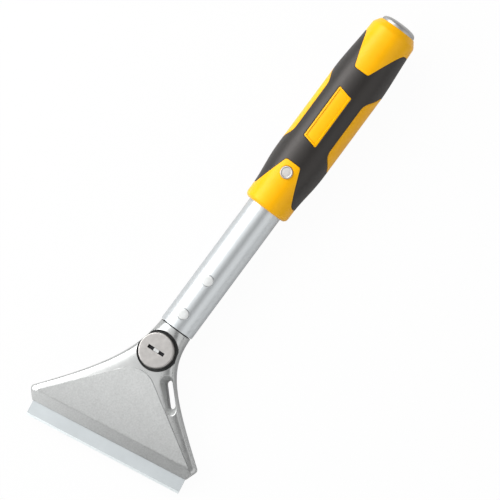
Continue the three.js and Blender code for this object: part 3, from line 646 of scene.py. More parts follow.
def piece(shape, node, finishes, place, sharp=0.7, choose=None):
    """Carry a shape into the frame as the piece that stands for a CAD node."""
    name, body, slot = PIECES[node]
    if choose:
        for face in shape.faces:
            face.material_index = choose(face)
    thing = as_object(placed(shape, place), name)
    for material in finishes:
        thing.data.materials.append(finish(material))
    thing.data.shade_smooth()
    thing.data.set_sharp_from_angle(angle=sharp)
    thing.modifiers.new("even_shading", "WEIGHTED_NORMAL").keep_sharp = True
    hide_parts(node)
    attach(thing, body)


# Head. Both jaws are cut from one form, whose sections run from the lip to the round collar.

SHAFT_WAY = Vector((math.cos(HEAD_SKEW), -math.sin(HEAD_SKEW)))
COLLAR_SPOT = SHAFT_WAY * (HEAD_BEND - COLLAR_GAP)
DIAL_SPOT = SHAFT_WAY * (HEAD_BEND - DIAL_SETBACK)
HEEL_X = DIAL_SPOT.x + 10.0
SHOULDER_ROUND = 2.0
LIP_SQUARENESS = 5.5  # power of the section's outline at the lip, where 2 is round
LIP_MIDDLE = -2.0


def neck_share(x):
    return (x - LIP_BACK_X) / (COLLAR_SPOT.x - LIP_BACK_X)


def head_top(x):
    return LIP_TOP + (COLLAR_RADIUS - LIP_TOP) * neck_share(x)


def head_back(x):
    return -(LIP_DEPTH + (COLLAR_RADIUS - LIP_DEPTH) * neck_share(x))


def plan_edge(side, angle, fullness):
    """Corners of the curve from the head's shoulder to the collar."""
    beside = Vector((math.sin(HEAD_SKEW), math.cos(HEAD_SKEW)))
    shoulder = Vector((LIP_BACK_X, side * SHOULDER_HALF))
    heading = Vector((math.cos(angle), -side * math.sin(angle)))
    collar = COLLAR_SPOT + beside * side * COLLAR_RADIUS
    gap = collar - shoulder
    run = ((gap.x * SHAFT_WAY.y - gap.y * SHAFT_WAY.x)
           / (heading.x * SHAFT_WAY.y - heading.y * SHAFT_WAY.x))
    corner = shoulder + heading * run
    return shoulder, shoulder.lerp(corner, fullness), collar.lerp(corner, fullness), collar


LEFT_EDGE = plan_edge(1, math.radians(48.2), 0.75)
RIGHT_EDGE = plan_edge(-1, math.radians(45), 0.85)


def on_edge(edge, share):
    """Point of a cubic curve."""
    rest = 1 - share
    return (edge[0] * rest ** 3 + edge[1] * 3 * rest ** 2 * share
            + edge[2] * 3 * rest * share ** 2 + edge[3] * share ** 3)


def plan_stations(edge, side, count):
    """Plan points from the lip's end to the collar, each with its share of the edge."""
    lip = Vector((LIP_FRONT_X, side * LIP_HALF))
    shoulder = edge[0]
    start = shoulder + (lip - shoulder).normalized() * SHOULDER_ROUND
    leave = SHOULDER_ROUND / (3 * (edge[1] - edge[0]).length)
    end = on_edge(edge, leave)
    stations = [(lip.lerp(start, step / 4), 0.0) for step in range(4)]
    for step in range(7):
        share = step / 6
        stations.append((bent(start, shoulder, end, share), leave * share ** 2))
    for step in range(1, count + 1):
        share = leave + (1 - leave) * step / count
        stations.append((on_edge(edge, share), share))
    return stations


def head_section(left, right, share, count):
    """Ring of the head's section, squarish at the lip and round at the collar."""
    middle, half = (left + right) / 2, (left - right) / 2
    power = LIP_SQUARENESS + (2 - LIP_SQUARENESS) * share ** 2
    level = LIP_MIDDLE * (1 - share)
    above, below = head_top(middle.x) - level, level - head_back(middle.x)

    def outline(angle):
        wide = np.sign(np.cos(angle)) * np.abs(np.cos(angle)) ** (2 / power)
        tall = np.sign(np.sin(angle)) * np.abs(np.sin(angle)) ** (2 / power)
        return wide, level + tall * np.where(tall > 0, above, below)

    # Points lie closer where the outline turns, so its width counts for less than its height.
    angle = np.linspace(0, math.tau, 1441)
    wide, z = outline(angle)
    run = np.hypot(np.diff(wide) * half.length * 0.4, np.diff(z))
    run = np.concatenate([[0], np.cumsum(run)])
    wide, z = outline(np.interp(np.linspace(0, run[-1], count + 1), run, angle))
    return [Vector((middle.x + half.x * w, middle.y + half.y * w, h)) for w, h in zip(wide, z)]


def head_form(points=132, stations=48):
    """The whole head from lip to collar, before it is split into jaws."""
    left = plan_stations(LEFT_EDGE, 1, stations)
    right = plan_stations(RIGHT_EDGE, -1, stations)
    rings = [head_section(a, b, (s + t) / 2, points) for (a, s), (b, t) in zip(left, right)]
    return closed(rolled(points, len(rings) - 1, lambda column, row: rings[row][column]))


def wedge(edge, face, over=3):
    """What lies outside a slope from edge to face, both in X and Z, and a little over its ends."""
    slope = (face[1] - edge[1]) / (face[0] - edge[0])
    low = (edge[0] - over, edge[1] - over * slope)
    high = (face[0] + over, face[1] + over * slope)
    corners = (low, high, (low[0], high[1]))
    return prism([(x, -FIELD_SIDE, z) for x, z in corners], (0, 2 * FIELD_SIDE, 0))


# Hanging slot and dial recess, whose rims are worn

RIM_COLUMNS = 96
SLOT_ALONG_EDGE = 46.0
SLOT_WALL = 1.5
SLOT_HALF_WIDTH = 2.1
SLOT_HALF_RUN = 6.4
SLOT_BOTTOM, SLOT_TOP = -14.0, 0.3
SLOT_FLARE = math.tan(math.radians(20))
UP = Vector((0, 0, 1))


def slot_place():
    """Middle of the hanging slot beside the right edge, and the ways along the edge and inward."""
    line = [on_edge(RIGHT_EDGE, share) for share in np.linspace(0, 1, 400)]
    run = np.concatenate([[0], np.cumsum([(b - a).length for a, b in zip(line, line[1:])])])
    spot = int(np.searchsorted(run, SLOT_ALONG_EDGE))
    along = (line[spot + 1] - line[spot - 1]).normalized()
    inward = Vector((-along.y, along.x))
    return line[spot] + inward * (SLOT_WALL + SLOT_HALF_WIDTH), along, inward


SLOT_CENTRE, SLOT_ALONG, SLOT_INWARD = slot_place()


def rim_angle(column):
    return math.tau * (column + 0.5) / RIM_COLUMNS


def slot_point(column, grow):
    """Plan point of the slot's outline for a column and for how far the pocket has grown."""
    angle = rim_angle(column)
    towards_lip = math.cos(angle) < 0
    end = -SLOT_HALF_RUN - 1.4 * grow if towards_lip else SLOT_HALF_RUN
    side = SLOT_HALF_WIDTH + grow * (0.5 if towards_lip else 0.95)
    run = end + (SLOT_HALF_WIDTH + grow) * math.cos(angle)
    return SLOT_CENTRE + SLOT_ALONG * run + SLOT_INWARD * side * math.sin(angle)


def worn_rim(skin, start, way, reach, steps=6):
    """Points of a wall that leaves a casting's top on its way from start, with a worn rim."""
    hit = skin.ray_cast(start, way)[0]
    if hit is None or (hit - start).length < reach * 3:
        return [start + UP * (1 + step / 10) for step in range(steps + 1)] + [start + UP * 8]
    beside_way = Vector((way.x, way.y, 0)).normalized()
    beside = skin.ray_cast(hit + beside_way * reach + UP * 3, -UP)[0]
    if beside is None or abs(beside.z - hit.z) > reach:
        beside = hit + beside_way * reach - UP * reach / 2
    first, last = hit - way * reach, beside + UP * 0.05
    shares = [step / steps for step in range(steps + 1)]
    points = [first.lerp(hit, share).lerp(hit.lerp(last, share), share) for share in shares]
    return points + [last + UP * 4]


def cutter(line):
    """Closed cutter from the points that each of its columns passes."""
    lines = [line(column) for column in range(RIM_COLUMNS)]
    return closed(rolled(RIM_COLUMNS, len(lines[0]) - 1, lambda column, row: lines[column][row]))


def hanging_slot(casting, reach):
    """The slot through the right shoulder with the drafted pocket above it."""
    skin = BVHTree.FromBMesh(casting)
    foot_levels = ((SLOT_BOTTOM, 0.0), (SLOT_TOP, 0.0), (0.5, 0.05), (0.8, 0.18))
    flare_level, flare_rise = 12.0, 11.4

    def line(column):
        foot = [Vector((*slot_point(column, grow), level)) for level, grow in foot_levels]
        flared = Vector((*slot_point(column, flare_rise * SLOT_FLARE), flare_level))
        return foot + worn_rim(skin, foot[-1], (flared - foot[-1]).normalized(), reach)

    return cutter(line)


def plain_slot():
    """The slot where it goes straight through."""
    return cutter(lambda column: [Vector((*slot_point(column, 0.0), level))
                                  for level in (SLOT_BOTTOM, SLOT_TOP)])


def dial_recess(casting, reach):
    """The round recess below the dial."""
    skin = BVHTree.FromBMesh(casting)

    def line(column):
        angle = rim_angle(column)
        side = Vector((math.cos(angle), math.sin(angle), 0))
        foot = Vector((*DIAL_SPOT, RECESS_LEVEL)) + side * RECESS_RADIUS
        way = (UP + side * 0.01).normalized()
        return [foot] + worn_rim(skin, foot + Vector((0, 0, 0.01)), way, reach)

    return cutter(line)


# Jaws

PLATEAU_SLOPE = math.atan(head_top(1) - head_top(0))
PLATEAU_NORMAL = Vector((-math.sin(PLATEAU_SLOPE), 0, math.cos(PLATEAU_SLOPE)))
PLATEAU_FRONT = Vector((LIP_BACK_X, 0, LIP_TOP))
LIP_RISE = LIP_TOP + PLATEAU_RISE - LIP_EDGE_LEVEL
LIP_NORMAL = Vector((-LIP_RISE, 0, LIP_BACK_X - LIP_FRONT_X)).normalized()
# The third finish darkens the recess, the collar's gap and the split faces as painted shade.
BLASTED, TUMBLED, PAINTED_SHADE, POCKET = range(4)
JAW_FINISHES = ("blasted_aluminium", "tumbled_aluminium", "raw_casting", "pocket_casting")


def plateau():
    """Flat field with a round nose, on the slope of the head's top."""
    front, half = -7.4, SHOULDER_HALF - 5.3
    edge, nose_radius, steps = math.radians(49.5), 15.0, 24
    turn = math.pi / 2 - edge
    nose = half / math.tan(edge) - nose_radius / math.sin(edge)
    points = [(front, half), (front, -half), (0, -half)]
    for step in range(steps + 1):
        angle = -turn + 2 * turn * step / steps
        points.append((nose + nose_radius * math.cos(angle), nose_radius * math.sin(angle)))
    points.append((0, half))
    shape = prism([(x, y, PLATEAU_RISE) for x, y in points], (0, 0, -5.4))
    slope = Matrix.Rotation(-PLATEAU_SLOPE, 4, "Y")
    return placed(shape, Matrix.Translation(PLATEAU_FRONT) @ slope)


def in_collar(centre, normal):
    """Whether a face lies at the collar's end or on the tang."""
    along = centre.xy.dot(SHAFT_WAY)
    from_axis = (centre - Vector((*SHAFT_WAY, 0)) * along).length
    return (along > COLLAR_SPOT.length - 0.1
            and (normal.xy.dot(SHAFT_WAY) > 0.9 or from_axis < STEM_RADIUS + 0.15))


def in_recess(centre):
    return ((centre.xy - DIAL_SPOT).length < RECESS_RADIUS + 0.1
            and RECESS_LEVEL - 0.1 < centre.z < head_top(centre.x) - 0.5)


def in_slot(centre, normal):
    offset = centre.xy - SLOT_CENTRE
    return (abs(offset.dot(SLOT_ALONG)) < 12.5 and abs(offset.dot(SLOT_INWARD)) < 5.0
            and normal.z < 0.8 and normal.xy.dot(offset) < 0)


def jaw_finish(face):
    """Blasted fields, pocket faces and tumbled outer faces, with painted shade on the recess, the
    collar's end, the tang and the split faces.
    """
    centre, normal = face.calc_center_median(), face.normal
    rise = (centre - PLATEAU_FRONT).dot(PLATEAU_NORMAL)
    level_with = 0.998
    if normal.dot(PLATEAU_NORMAL) > level_with and abs(rise - PLATEAU_RISE) < 0.06:
        return BLASTED
    if normal.dot(LIP_NORMAL) > level_with:
        return BLASTED
    if in_collar(centre, normal) or abs(centre.z - SPLIT_LEVEL) < 0.01 or in_recess(centre):
        return PAINTED_SHADE
    return POCKET if in_slot(centre, normal) else TUMBLED


def front_casting(soft):
    """Front jaw: the head above the split, with its lip, slot, recess and tang."""
    lip = wedge((LIP_FRONT_X, LIP_EDGE_LEVEL), (LIP_BACK_X, LIP_TOP + PLATEAU_RISE))
    rear_room = block((EDGE_X, -FIELD_SIDE, FAR_DOWN), (HEEL_X + 0.3, FIELD_SIDE, SPLIT_LEVEL))
    shape = cut(combined(head_form(), plateau(), "UNION"), lip, rear_room)
    shape = softened_casting(shape, soft)
    shape = cut(shape, hanging_slot(shape, soft * 2))
    shape = cut(shape, dial_recess(shape, soft))
    start, end = -2.6, 42
    tang = turned([(0, start), (STEM_RADIUS, start), (STEM_RADIUS, end - 0.5), (7.9, end),
                   (0, end)], "X", 64)
    return joined(shape, placed(tang, HEAD.inverted() @ SHAFT))


def rear_casting(soft):
    """Rear jaw: the head below the blade, with its rear slope, slot and holes."""
    field = block((EDGE_X, -FIELD_SIDE, FAR_DOWN), (HEEL_X, FIELD_SIDE, REAR_JAW_TOP))
    knee = LIP_FRONT_X + 15.0
    slope = wedge((LIP_FRONT_X, BLADE_SEAT_LEVEL - 1.0), (knee, head_back(knee)))
    gap = 0.15
    seat = block((EDGE_X, -BLADE_HALF - gap, BLADE_SEAT_LEVEL),
                 (BLADE_BACK_X + gap, BLADE_HALF + gap, 0))
    shape = softened_casting(cut(combined(head_form(), field, "INTERSECT"), slope, seat), soft)
    pin_holes = [post(2.15, FAR_DOWN, 0, GUIDE_PIN_X, side, 32)
                 for side in GUIDE_PIN_SIDES.values()]
    flange = NUT_BASE + 1.15
    nut_hole = turned([(0, 0), (4.65, 0), (4.65, flange), (6.15, flange), (6.15, -9.5),
                       (6.35, -9.8), (7.35, -10.8), (0, -10.8)], "Z", 64)
    return cut(shape, plain_slot(), *pin_holes, moved(nut_hole, (*DIAL_SPOT, 0)))


class SCRAPER_OT_jaws(bpy.types.Operator):
    """Cast jaws, both cut from one head form."""

    bl_idname = "scraper.jaws"
    bl_label = "Make the jaws"

    def execute(self, context):
        soft = context.scene.scraper_sizes.casting_edge
        piece(front_casting(soft), "front_jaw", JAW_FINISHES, HEAD, choose=jaw_finish)
        # The rear jaw's upward faces, under the blade and the front jaw, are darkened as painted
        # shade.
        piece(rear_casting(soft), "rear_jaw", ("tumbled_aluminium", "raw_casting"), HEAD,
              choose=lambda face: int(face.normal.z > 0.9))
        return {"FINISHED"}


class SCRAPER_OT_blade(bpy.types.Operator):
    """Blade with its ground cutting edge and trimmed back corners."""

    bl_idname = "scraper.blade"
    bl_label = "Make the blade"

    def execute(self, context):
        bevel_end, thick, keen = EDGE_X + BLADE_BEVEL, BLADE_HALF_THICK, 0.05
        outline = ((EDGE_X, -keen), (bevel_end, -thick), (BLADE_BACK_X, -thick),
                   (BLADE_BACK_X, thick), (bevel_end, thick), (EDGE_X, keen))
        shape = prism([(x, -BLADE_HALF, BLADE_LEVEL + z) for x, z in outline],
                      (0, 2 * BLADE_HALF, 0))
        for side in (1, -1):
            corner = (BLADE_BACK_X - BLADE_CORNER, side * BLADE_HALF, 0)
            bmesh.ops.bisect_plane(shape, geom=all_of(shape), plane_co=corner,
                                   plane_no=(1, side, 0), clear_outer=True)
            closed(shape)
        rims = [edge for edge in shape.edges if edge.calc_face_angle(0) > 1.2
                and min(vertex.co.x for vertex in edge.verts) > EDGE_X + 1]
        bmesh.ops.bevel(shape, geom=rims, affect="EDGES", offset=0.06, segments=1, profile=0.5,
                        material=-1)

        # Bevel faces get the lightened finish, a painted highlight along the cutting edge.
        def on_bevel(face):
            return int(face.calc_center_median().x < bevel_end - 0.05 and abs(face.normal.y) < 0.5)

        piece(shape, "blade", ("ground_strip", "ground_edge"), HEAD, sharp=0.2, choose=on_bevel)
        return {"FINISHED"}


class SCRAPER_OT_dial(bpy.types.Operator):
    """Knurled dial with its coin slot."""

    bl_idname = "scraper.dial"
    bl_label = "Make the dial"

    def execute(self, context):
        sizes = context.scene.scraper_sizes
        per_tooth = 6
        columns = sizes.knurl_teeth * per_tooth
        # Radius, level and share of the knurl's depth
        rings = [(9.7, DIAL_BOTTOM, 0), (10.1, 6.9, 0.4), (10.5, 7.3, 1), (10.5, 11.7, 1),
                 (10.4, 12.0, 0.4), (10.3, 12.15, 0), (10.28, 12.35, 0), (10.18, 12.55, 0),
                 (9.98, 12.7, 0), (9.75, 12.77, 0), (9.5, DIAL_TOP, 0)]
        slot_half_width, slot_half_run, slot_floor, slot_rim = 1.0, 5.35, 10.15, 6

        def place(column, row):
            radius, level, share = rings[row]
            step = column / per_tooth
            groove = 1 - abs(2 * (step % 1) - 1)
            reach = radius - share * sizes.knurl_depth * min(1.0, groove * 1.5)
            angle = math.tau * step / sizes.knurl_teeth
            return Vector((reach * math.cos(angle), reach * math.sin(angle), level))

        # Faces inside the coin slot take the blackened finish, which here is partly painted shade.
        def in_coin_slot(face):
            centre = face.calc_center_median()
            return int(10 < centre.z < 12.6 and centre.xy.length < slot_rim)

        slot = placed(block((-slot_half_width, -slot_half_run, slot_floor),
                            (slot_half_width, slot_half_run, 14)),
                      Matrix.Rotation(math.radians(4), 4, "Z"))
        shape = cut(closed(rolled(columns, len(rings) - 1, place)), slot)
        mouth = [edge for edge in sharp_edges(shape, 1.0)
                 if all(abs(vertex.co.z - DIAL_TOP) < 1e-3 and vertex.co.xy.length < slot_rim
                        for vertex in edge.verts)]
        bmesh.ops.bevel(shape, geom=mouth, affect="EDGES", offset=0.15, segments=2, profile=0.5,
                        material=-1)
        piece(shape, "clamp_dial", ("turned_dial", "black_steel"), CLAMP, choose=in_coin_slot)
        return {"FINISHED"}


class SCRAPER_OT_clamp_parts(bpy.types.Operator):
    """Stud, nut, washer, guide pins and clip of the clamp."""

    bl_idname = "scraper.clamp_parts"
    bl_label = "Make the clamp parts"

    def execute(self, context):
        soft = context.scene.scraper_sizes.machined_edge
        groove, tip = 2.4, 1.7
        stud = [(0, NUT_BASE), (2.7, NUT_BASE), (STUD_RADIUS, NUT_BASE + 0.3), (STUD_RADIUS, -3.1),
                (groove, -3.1), (groove, -2.0), (STUD_RADIUS, -2.0), (STUD_RADIUS, 9.9),
                (tip, 9.9), (tip, 11.6), (0, 11.6)]
        piece(turned(stud, "Z", 48), "clamp_stud", ("bright_rivet",), CLAMP)

        flange, barrel, top = NUT_BASE + 1, 4.5, -4.45
        nut = [(NUT_BORE, NUT_BASE), (6.0, NUT_BASE), (6.0, flange), (barrel, flange),
               (barrel, top), (NUT_BORE, top), (NUT_BORE, NUT_BASE)]
        piece(softened(turned(nut, "Z", 64), soft), "clamp_nut", ("rivet_steel",), CLAMP)

        bore, rim, low, high = 3.3, 8.5, 5.55, 6.45
        washer = [(bore, low), (rim, low), (rim, high), (bore, high), (bore, low)]
        piece(softened(turned(washer, "Z", 64), soft), "dial_washer", ("black_steel",), CLAMP)

        radius, low, high = 2, head_back(GUIDE_PIN_X) + 0.8, 0.85
        for name, side in GUIDE_PIN_SIDES.items():
            pin = turned([(0, low), (radius, low), (radius, high), (0, high)], "Z", 40)
            piece(moved(softened(pin, soft), (GUIDE_PIN_X, side, 0)), f"guide_pin_{name}",
                  ("rivet_steel",), HEAD)

        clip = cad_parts["stud_clip"]
        clip.data.materials.clear()
        clip.data.materials.append(finish("black_steel"))
        return {"FINISHED"}


# Shaft

class SCRAPER_OT_tube(bpy.types.Operator):
    """Satin tube with the flats for its rivets."""

    bl_idname = "scraper.tube"
    bl_label = "Make the tube"

    def execute(self, context):
        soft = context.scene.scraper_sizes.machined_edge
        outline = [(TUBE_BORE, 0), (TUBE_RADIUS, 0), (TUBE_RADIUS, TUBE_END),
                   (TUBE_BORE, TUBE_END), (TUBE_BORE, 0)]
        flats = [flat for spot in HEAD_RIVETS
                 for flat in both_posts(3.65, HEAD_RIVET_SEAT, 14, spot, steps=56)]
        shape = cut(softened(turned(outline, "X", 128), soft), *flats)
        piece(shape, "shaft_tube", ("brushed_tube",), SHAFT, sharp=0.5)
        return {"FINISHED"}


def rivet(head, soft, x):
    """A rivet with the same head at both ends. The outline holds radius and level."""
    lower = [(radius, -level) for radius, level in reversed(head)]
    return moved(softened(turned(lower + head, "Z", 56), soft, angle=0.4, segments=3), (x, 0, 0))


class SCRAPER_OT_rivets(bpy.types.Operator):
    """Rivets of the head and of the handle."""

    bl_idname = "scraper.rivets"
    bl_label = "Make the rivets"

    def execute(self, context):
        soft = context.scene.scraper_sizes.machined_edge
        seat, rim, top = HEAD_RIVET_SEAT + RIVET_GAP, 3.35, 11.4
        head = [(2.4, seat), (rim, seat), (rim, top - 0.4), (rim - 0.3, top), (0, top)]
        for name, spot in zip(("lower", "upper"), HEAD_RIVETS):
            piece(rivet(head, soft * 1.5, spot), f"head_rivet_{name}", ("bright_rivet",), SHAFT)

        surface = handle_radius(HANDLE_RIVET_X)
        seat, rim, brim, dish = rivet_seat() + RIVET_GAP, 3.8, surface + 0.5, surface + 0.14
        head = [(2.3, seat), (rim, seat), (rim, surface - 0.05), (3.45, brim), (3.0, brim),
                (2.75, surface + 0.1), (2.2, dish), (0, dish)]
        piece(rivet(head, soft, HANDLE_RIVET_X), "handle_rivet", ("rivet_steel",), HANDLE)
        return {"FINISHED"}


class SCRAPER_OT_cap(bpy.types.Operator):
    """Domed strike cap with its stem."""

    bl_idname = "scraper.cap"
    bl_label = "Make the strike cap"

    def execute(self, context):
        stem, seat, steps = TUBE_END - 14, TUBE_END + 0.15, 16
        outline = [(0, stem), (8.0, stem), (STEM_RADIUS, stem + 0.5), (STEM_RADIUS, seat),
                   (CAP_RADIUS, seat)]
        for step in range(steps + 1):
            radius = CAP_RADIUS * (1 - (step / steps) ** 2)
            rise = CAP_DOME * (1 - (radius / CAP_RADIUS) ** 3) ** (1 / 3)
            outline.append((radius, CAP_END - CAP_DOME + rise))
        piece(turned(outline, "X", 96), "strike_cap", ("struck_cap",), SHAFT)
        return {"FINISHED"}


# Handle

# Rise of the handle's surface over its core at the front, at the belly and at the end
NOSE_RISE, BELLY_RISE, TAIL_RISE = 1.3, 3.4, 1.4
TAIL_START, TAIL_END = 88.0, 123.7

# Corners of the yellow fields, each with its own radius
PANEL_CORNERS = [(44.9, -4.8, 0.5), (79.3, -4.8, 0.5), (81.5, 4.8, 0.5), (47.1, 4.8, 0.5)]
STRIPE_CORNERS = [(37.1, 0, 3.5), (44.7, -10.6, 8), (81.2, -10.6, 9),
                  (91.2, 0, 3.5), (81.2, 10.6, 9), (44.7, 10.6, 8)]


def eased(x, start, end):
    return min(1.0, max(0.0, (x - start) / (end - start)))


def handle_radius(x):
    """Radius of the handle at a distance from its front."""
    front = eased(x, NOSE_ROUND, BELLY_X)
    front = front ** 3 * (front * (6 * front - 15) + 10)
    tail = eased(x, TAIL_START, TAIL_END)
    tail = tail * tail * (3 - 2 * tail)
    rise = NOSE_RISE + (BELLY_RISE - NOSE_RISE) * front
    return CORE_RADIUS + rise + (TAIL_RISE - rise) * tail


def lower_of(first, second, blend):
    """The lower of two lengths, with a rounded change from one to the other."""
    return (first + second - math.hypot(first - second, blend)) / 2


def higher_of(first, second, blend):
    return -lower_of(-first, -second, blend)


def lug_reach(angle, length, tip, side, from_rear=False):
    """How far a yellow end, with a lug above and below, reaches at an angle round the handle."""
    def radius(reach):
        return handle_radius(HANDLE_LENGTH - reach if from_rear else reach)

    spread = (length - side) / (radius(side) - 1.4 - tip / 2)
    reach = (length + side) / 2
    for _ in range(24):
        offset = abs(radius(reach) * math.cos(angle))
        slanted = lower_of(length, length - (offset - tip / 2) * spread, 0.9)
        reach = (reach + higher_of(slanted, side, 2.0)) / 2
    return reach


def front_reach(angle):
    return lug_reach(angle, 30.6, 10.0, 8.6)


def rear_reach(angle):
    return lug_reach(angle, 32.3, 9.6, 10.3, from_rear=True)


def rivet_seat():
    """Level of the flat below the handle rivet's head."""
    return math.sqrt(handle_radius(HANDLE_RIVET_X) ** 2 - RIVET_POCKET ** 2)


def rounded_outline(corners, steps=6):
    """Points of a straight-sided outline whose corners have their own radius."""
    points = []
    for index, (x, y, radius) in enumerate(corners):
        corner = Vector((x, y))
        arriving = (corner - Vector(corners[index - 1][:2])).normalized()
        leaving = (Vector(corners[(index + 1) % len(corners)][:2]) - corner).normalized()
        reach = radius * math.tan(math.acos(arriving.dot(leaving)) / 2)
        start, end = corner - arriving * reach, corner + leaving * reach
        points += [bent(start, corner, end, step / steps) for step in range(steps + 1)]
    return points


def island(points, planes, soft, border=0.0, sink=0.0):
    """A raised field of the core on the handle's round surface, with its wall below.

    The planes divide it, so that it can follow the surface.
    """
    shape = bmesh.new()
    face = shape.faces.new([shape.verts.new((point.x, point.y, 0)) for point in points])
    if border:
        face.normal_update()
        for width in (border, 0.4):
            bmesh.ops.inset_region(shape, faces=[face], thickness=width, use_boundary=True,
                                   use_even_offset=True)
        for vertex in face.verts:
            vertex.co.z = -sink
    for spot, normal in planes:
        bmesh.ops.bisect_plane(shape, geom=all_of(shape), plane_co=spot, plane_no=normal, dist=1e-4)
    rim = [edge for edge in shape.edges if edge.is_boundary]
    wall = bmesh.ops.extrude_edge_only(shape, edges=rim)["geom"]
    low = {part for part in wall if isinstance(part, bmesh.types.BMVert)}
    for vertex in shape.verts:
        surface = math.sqrt(handle_radius(vertex.co.x) ** 2 - vertex.co.y ** 2)
        vertex.co.z += surface - (3.0 if vertex in low else 0.0)
    bmesh.ops.recalc_face_normals(shape, faces=shape.faces)
    if sum(face.normal.z for face in shape.faces) < 0:
        bmesh.ops.reverse_faces(shape, faces=shape.faces)
    bmesh.ops.bevel(shape, geom=rim, affect="EDGES", offset=soft, segments=3, profile=0.5,
                    material=-1, clamp_overlap=True)
    return closed(shape)


def planes_along(start, end, step, normal):
    """Planes square to a normal, a step apart."""
    count = round((end - start) / step)
    return [(Vector(normal) * (start + (end - start) * index / count), normal)
            for index in range(count + 1)]


def ringed_shell(path, columns):
    """A shell round the handle: path(angle) gives its outline of distance and radius."""
    angles = [math.tau * column / columns for column in range(columns)]
    lines = [path(angle) for angle in angles]

    def place(column, row):
        along, radius = lines[column][row]
        return Vector((along, radius * math.cos(angles[column]), radius * math.sin(angles[column])))

    return rolled(columns, len(lines[0]) - 1, place)


def rising_round(x, radius, soft, steps):
    """A quarter round from a wall at x up to the surface."""
    turns = [math.pi / 2 * step / steps for step in range(steps + 1)]
    return [(x + soft * (1 - math.cos(turn)), radius - soft * (1 - math.sin(turn)))
            for turn in turns]


def falling_round(x, radius, soft, way=1, steps=4):
    """A quarter round from the surface down to a wall at x, reached on the way along X."""
    turns = [math.pi / 2 * step / steps for step in range(steps + 1)]
    return [(x - way * soft * (1 - math.sin(turn)), radius - soft * (1 - math.cos(turn)))
            for turn in turns]


def front_path(angle, soft, steps=40):
    """Outline of the front yellow end: bore, nose, surface and rim."""
    reach = front_reach(angle)
    points = [(4.0, CORE_BORE), (0.4, CORE_BORE), (0.1, CORE_BORE + 0.1)]
    points += rising_round(0, handle_radius(0), NOSE_ROUND, 8)
    for step in range(1, steps + 1):
        x = NOSE_ROUND + (reach - soft - NOSE_ROUND) * step / steps
        points.append((x, handle_radius(x)))
    points += falling_round(reach, handle_radius(reach), soft)[1:]
    return points + [(reach, CORE_RADIUS - 0.4), points[0]]


def rear_path(angle, soft, steps=56):
    """Outline of the rear yellow end: cap hole, chamfer, surface and rim."""
    reach, cap_hole = rear_reach(angle), CORE_BORE + 0.3
    points = [(HANDLE_LENGTH - 4.6, cap_hole), (HANDLE_LENGTH - 0.15, cap_hole),
              (HANDLE_LENGTH, cap_hole + 0.12)]
    for step in range(1, steps + 1):
        inset = (reach - soft) * (step / steps)
        x = HANDLE_LENGTH - inset
        chamfer = cap_hole + 0.3 + inset * 2.8 / 4
        points.append((x, lower_of(chamfer, handle_radius(x), 0.5)))
    end = HANDLE_LENGTH - reach
    points += falling_round(end, handle_radius(end), soft, way=-1)[1:]
    return points + [(end, CORE_RADIUS - 0.4), points[0]]


class SCRAPER_OT_core(bpy.types.Operator):
    """Yellow core: both ends with their lugs, the panel and the side stripes on one barrel."""

    bl_idname = "scraper.core"
    bl_label = "Make the yellow core"

    def execute(self, context):
        sizes = context.scene.scraper_sizes
        soft, columns = sizes.moulded_edge, 192
        front_end = cut(ringed_shell(lambda angle: front_path(angle, soft), columns),
                        *both_posts(RIVET_POCKET, rivet_seat(), 20, HANDLE_RIVET_X))
        rear_end = ringed_shell(lambda angle: rear_path(angle, soft), columns)
        start, end = 5.0, HANDLE_LENGTH - 7.0
        barrel = turned([(CORE_BORE, start), (CORE_RADIUS, start), (CORE_RADIUS, end),
                         (CORE_BORE, end), (CORE_BORE, start)], "X", 96)
        panel_planes = (planes_along(-4.0, 4.0, 0.8, (0, 1, 0))
                        + planes_along(46, 80, 2.0, (1, 0, 0)))
        panel = island(rounded_outline(PANEL_CORNERS), panel_planes, 0.22,
                       sizes.panel_border, sizes.panel_sink)
        shapes = [front_end, rear_end, barrel, panel]
        stripe_planes = (planes_along(-10.0, 10.0, 1.0, (0, 1, 0))
                         + planes_along(40, 90, 2.0, (1, 0, 0)))
        for turn in (90, -90):
            stripe = island(rounded_outline(STRIPE_CORNERS), stripe_planes, soft)
            shapes.append(placed(stripe, Matrix.Rotation(math.radians(turn), 4, "X")))
        piece(joined(*shapes), "handle_core", ("moulded_yellow",), HANDLE, sharp=0.9)
        return {"FINISHED"}


def outline_distance(points, outline):
    """Distance of flat points from an outline, below zero inside it."""
    starts = np.array([tuple(point) for point in outline])
    ends = np.roll(starts, -1, axis=0)
    best = np.full(len(points), 1e9)
    inside = np.zeros(len(points), bool)
    for start, end in zip(starts, ends):
        run = end - start
        length = run @ run
        if length < 1e-12:
            continue
        share = np.clip(((points - start) @ run) / length, 0, 1)
        best = np.minimum(best, np.hypot(*(points - start - share[:, None] * run).T))
        if run[1]:
            crosses = (start[1] > points[:, 1]) != (end[1] > points[:, 1])
            at = start[0] + (points[:, 1] - start[1]) * run[0] / run[1]
            inside ^= crosses & (points[:, 0] < at)
    return np.where(inside, -best, best)


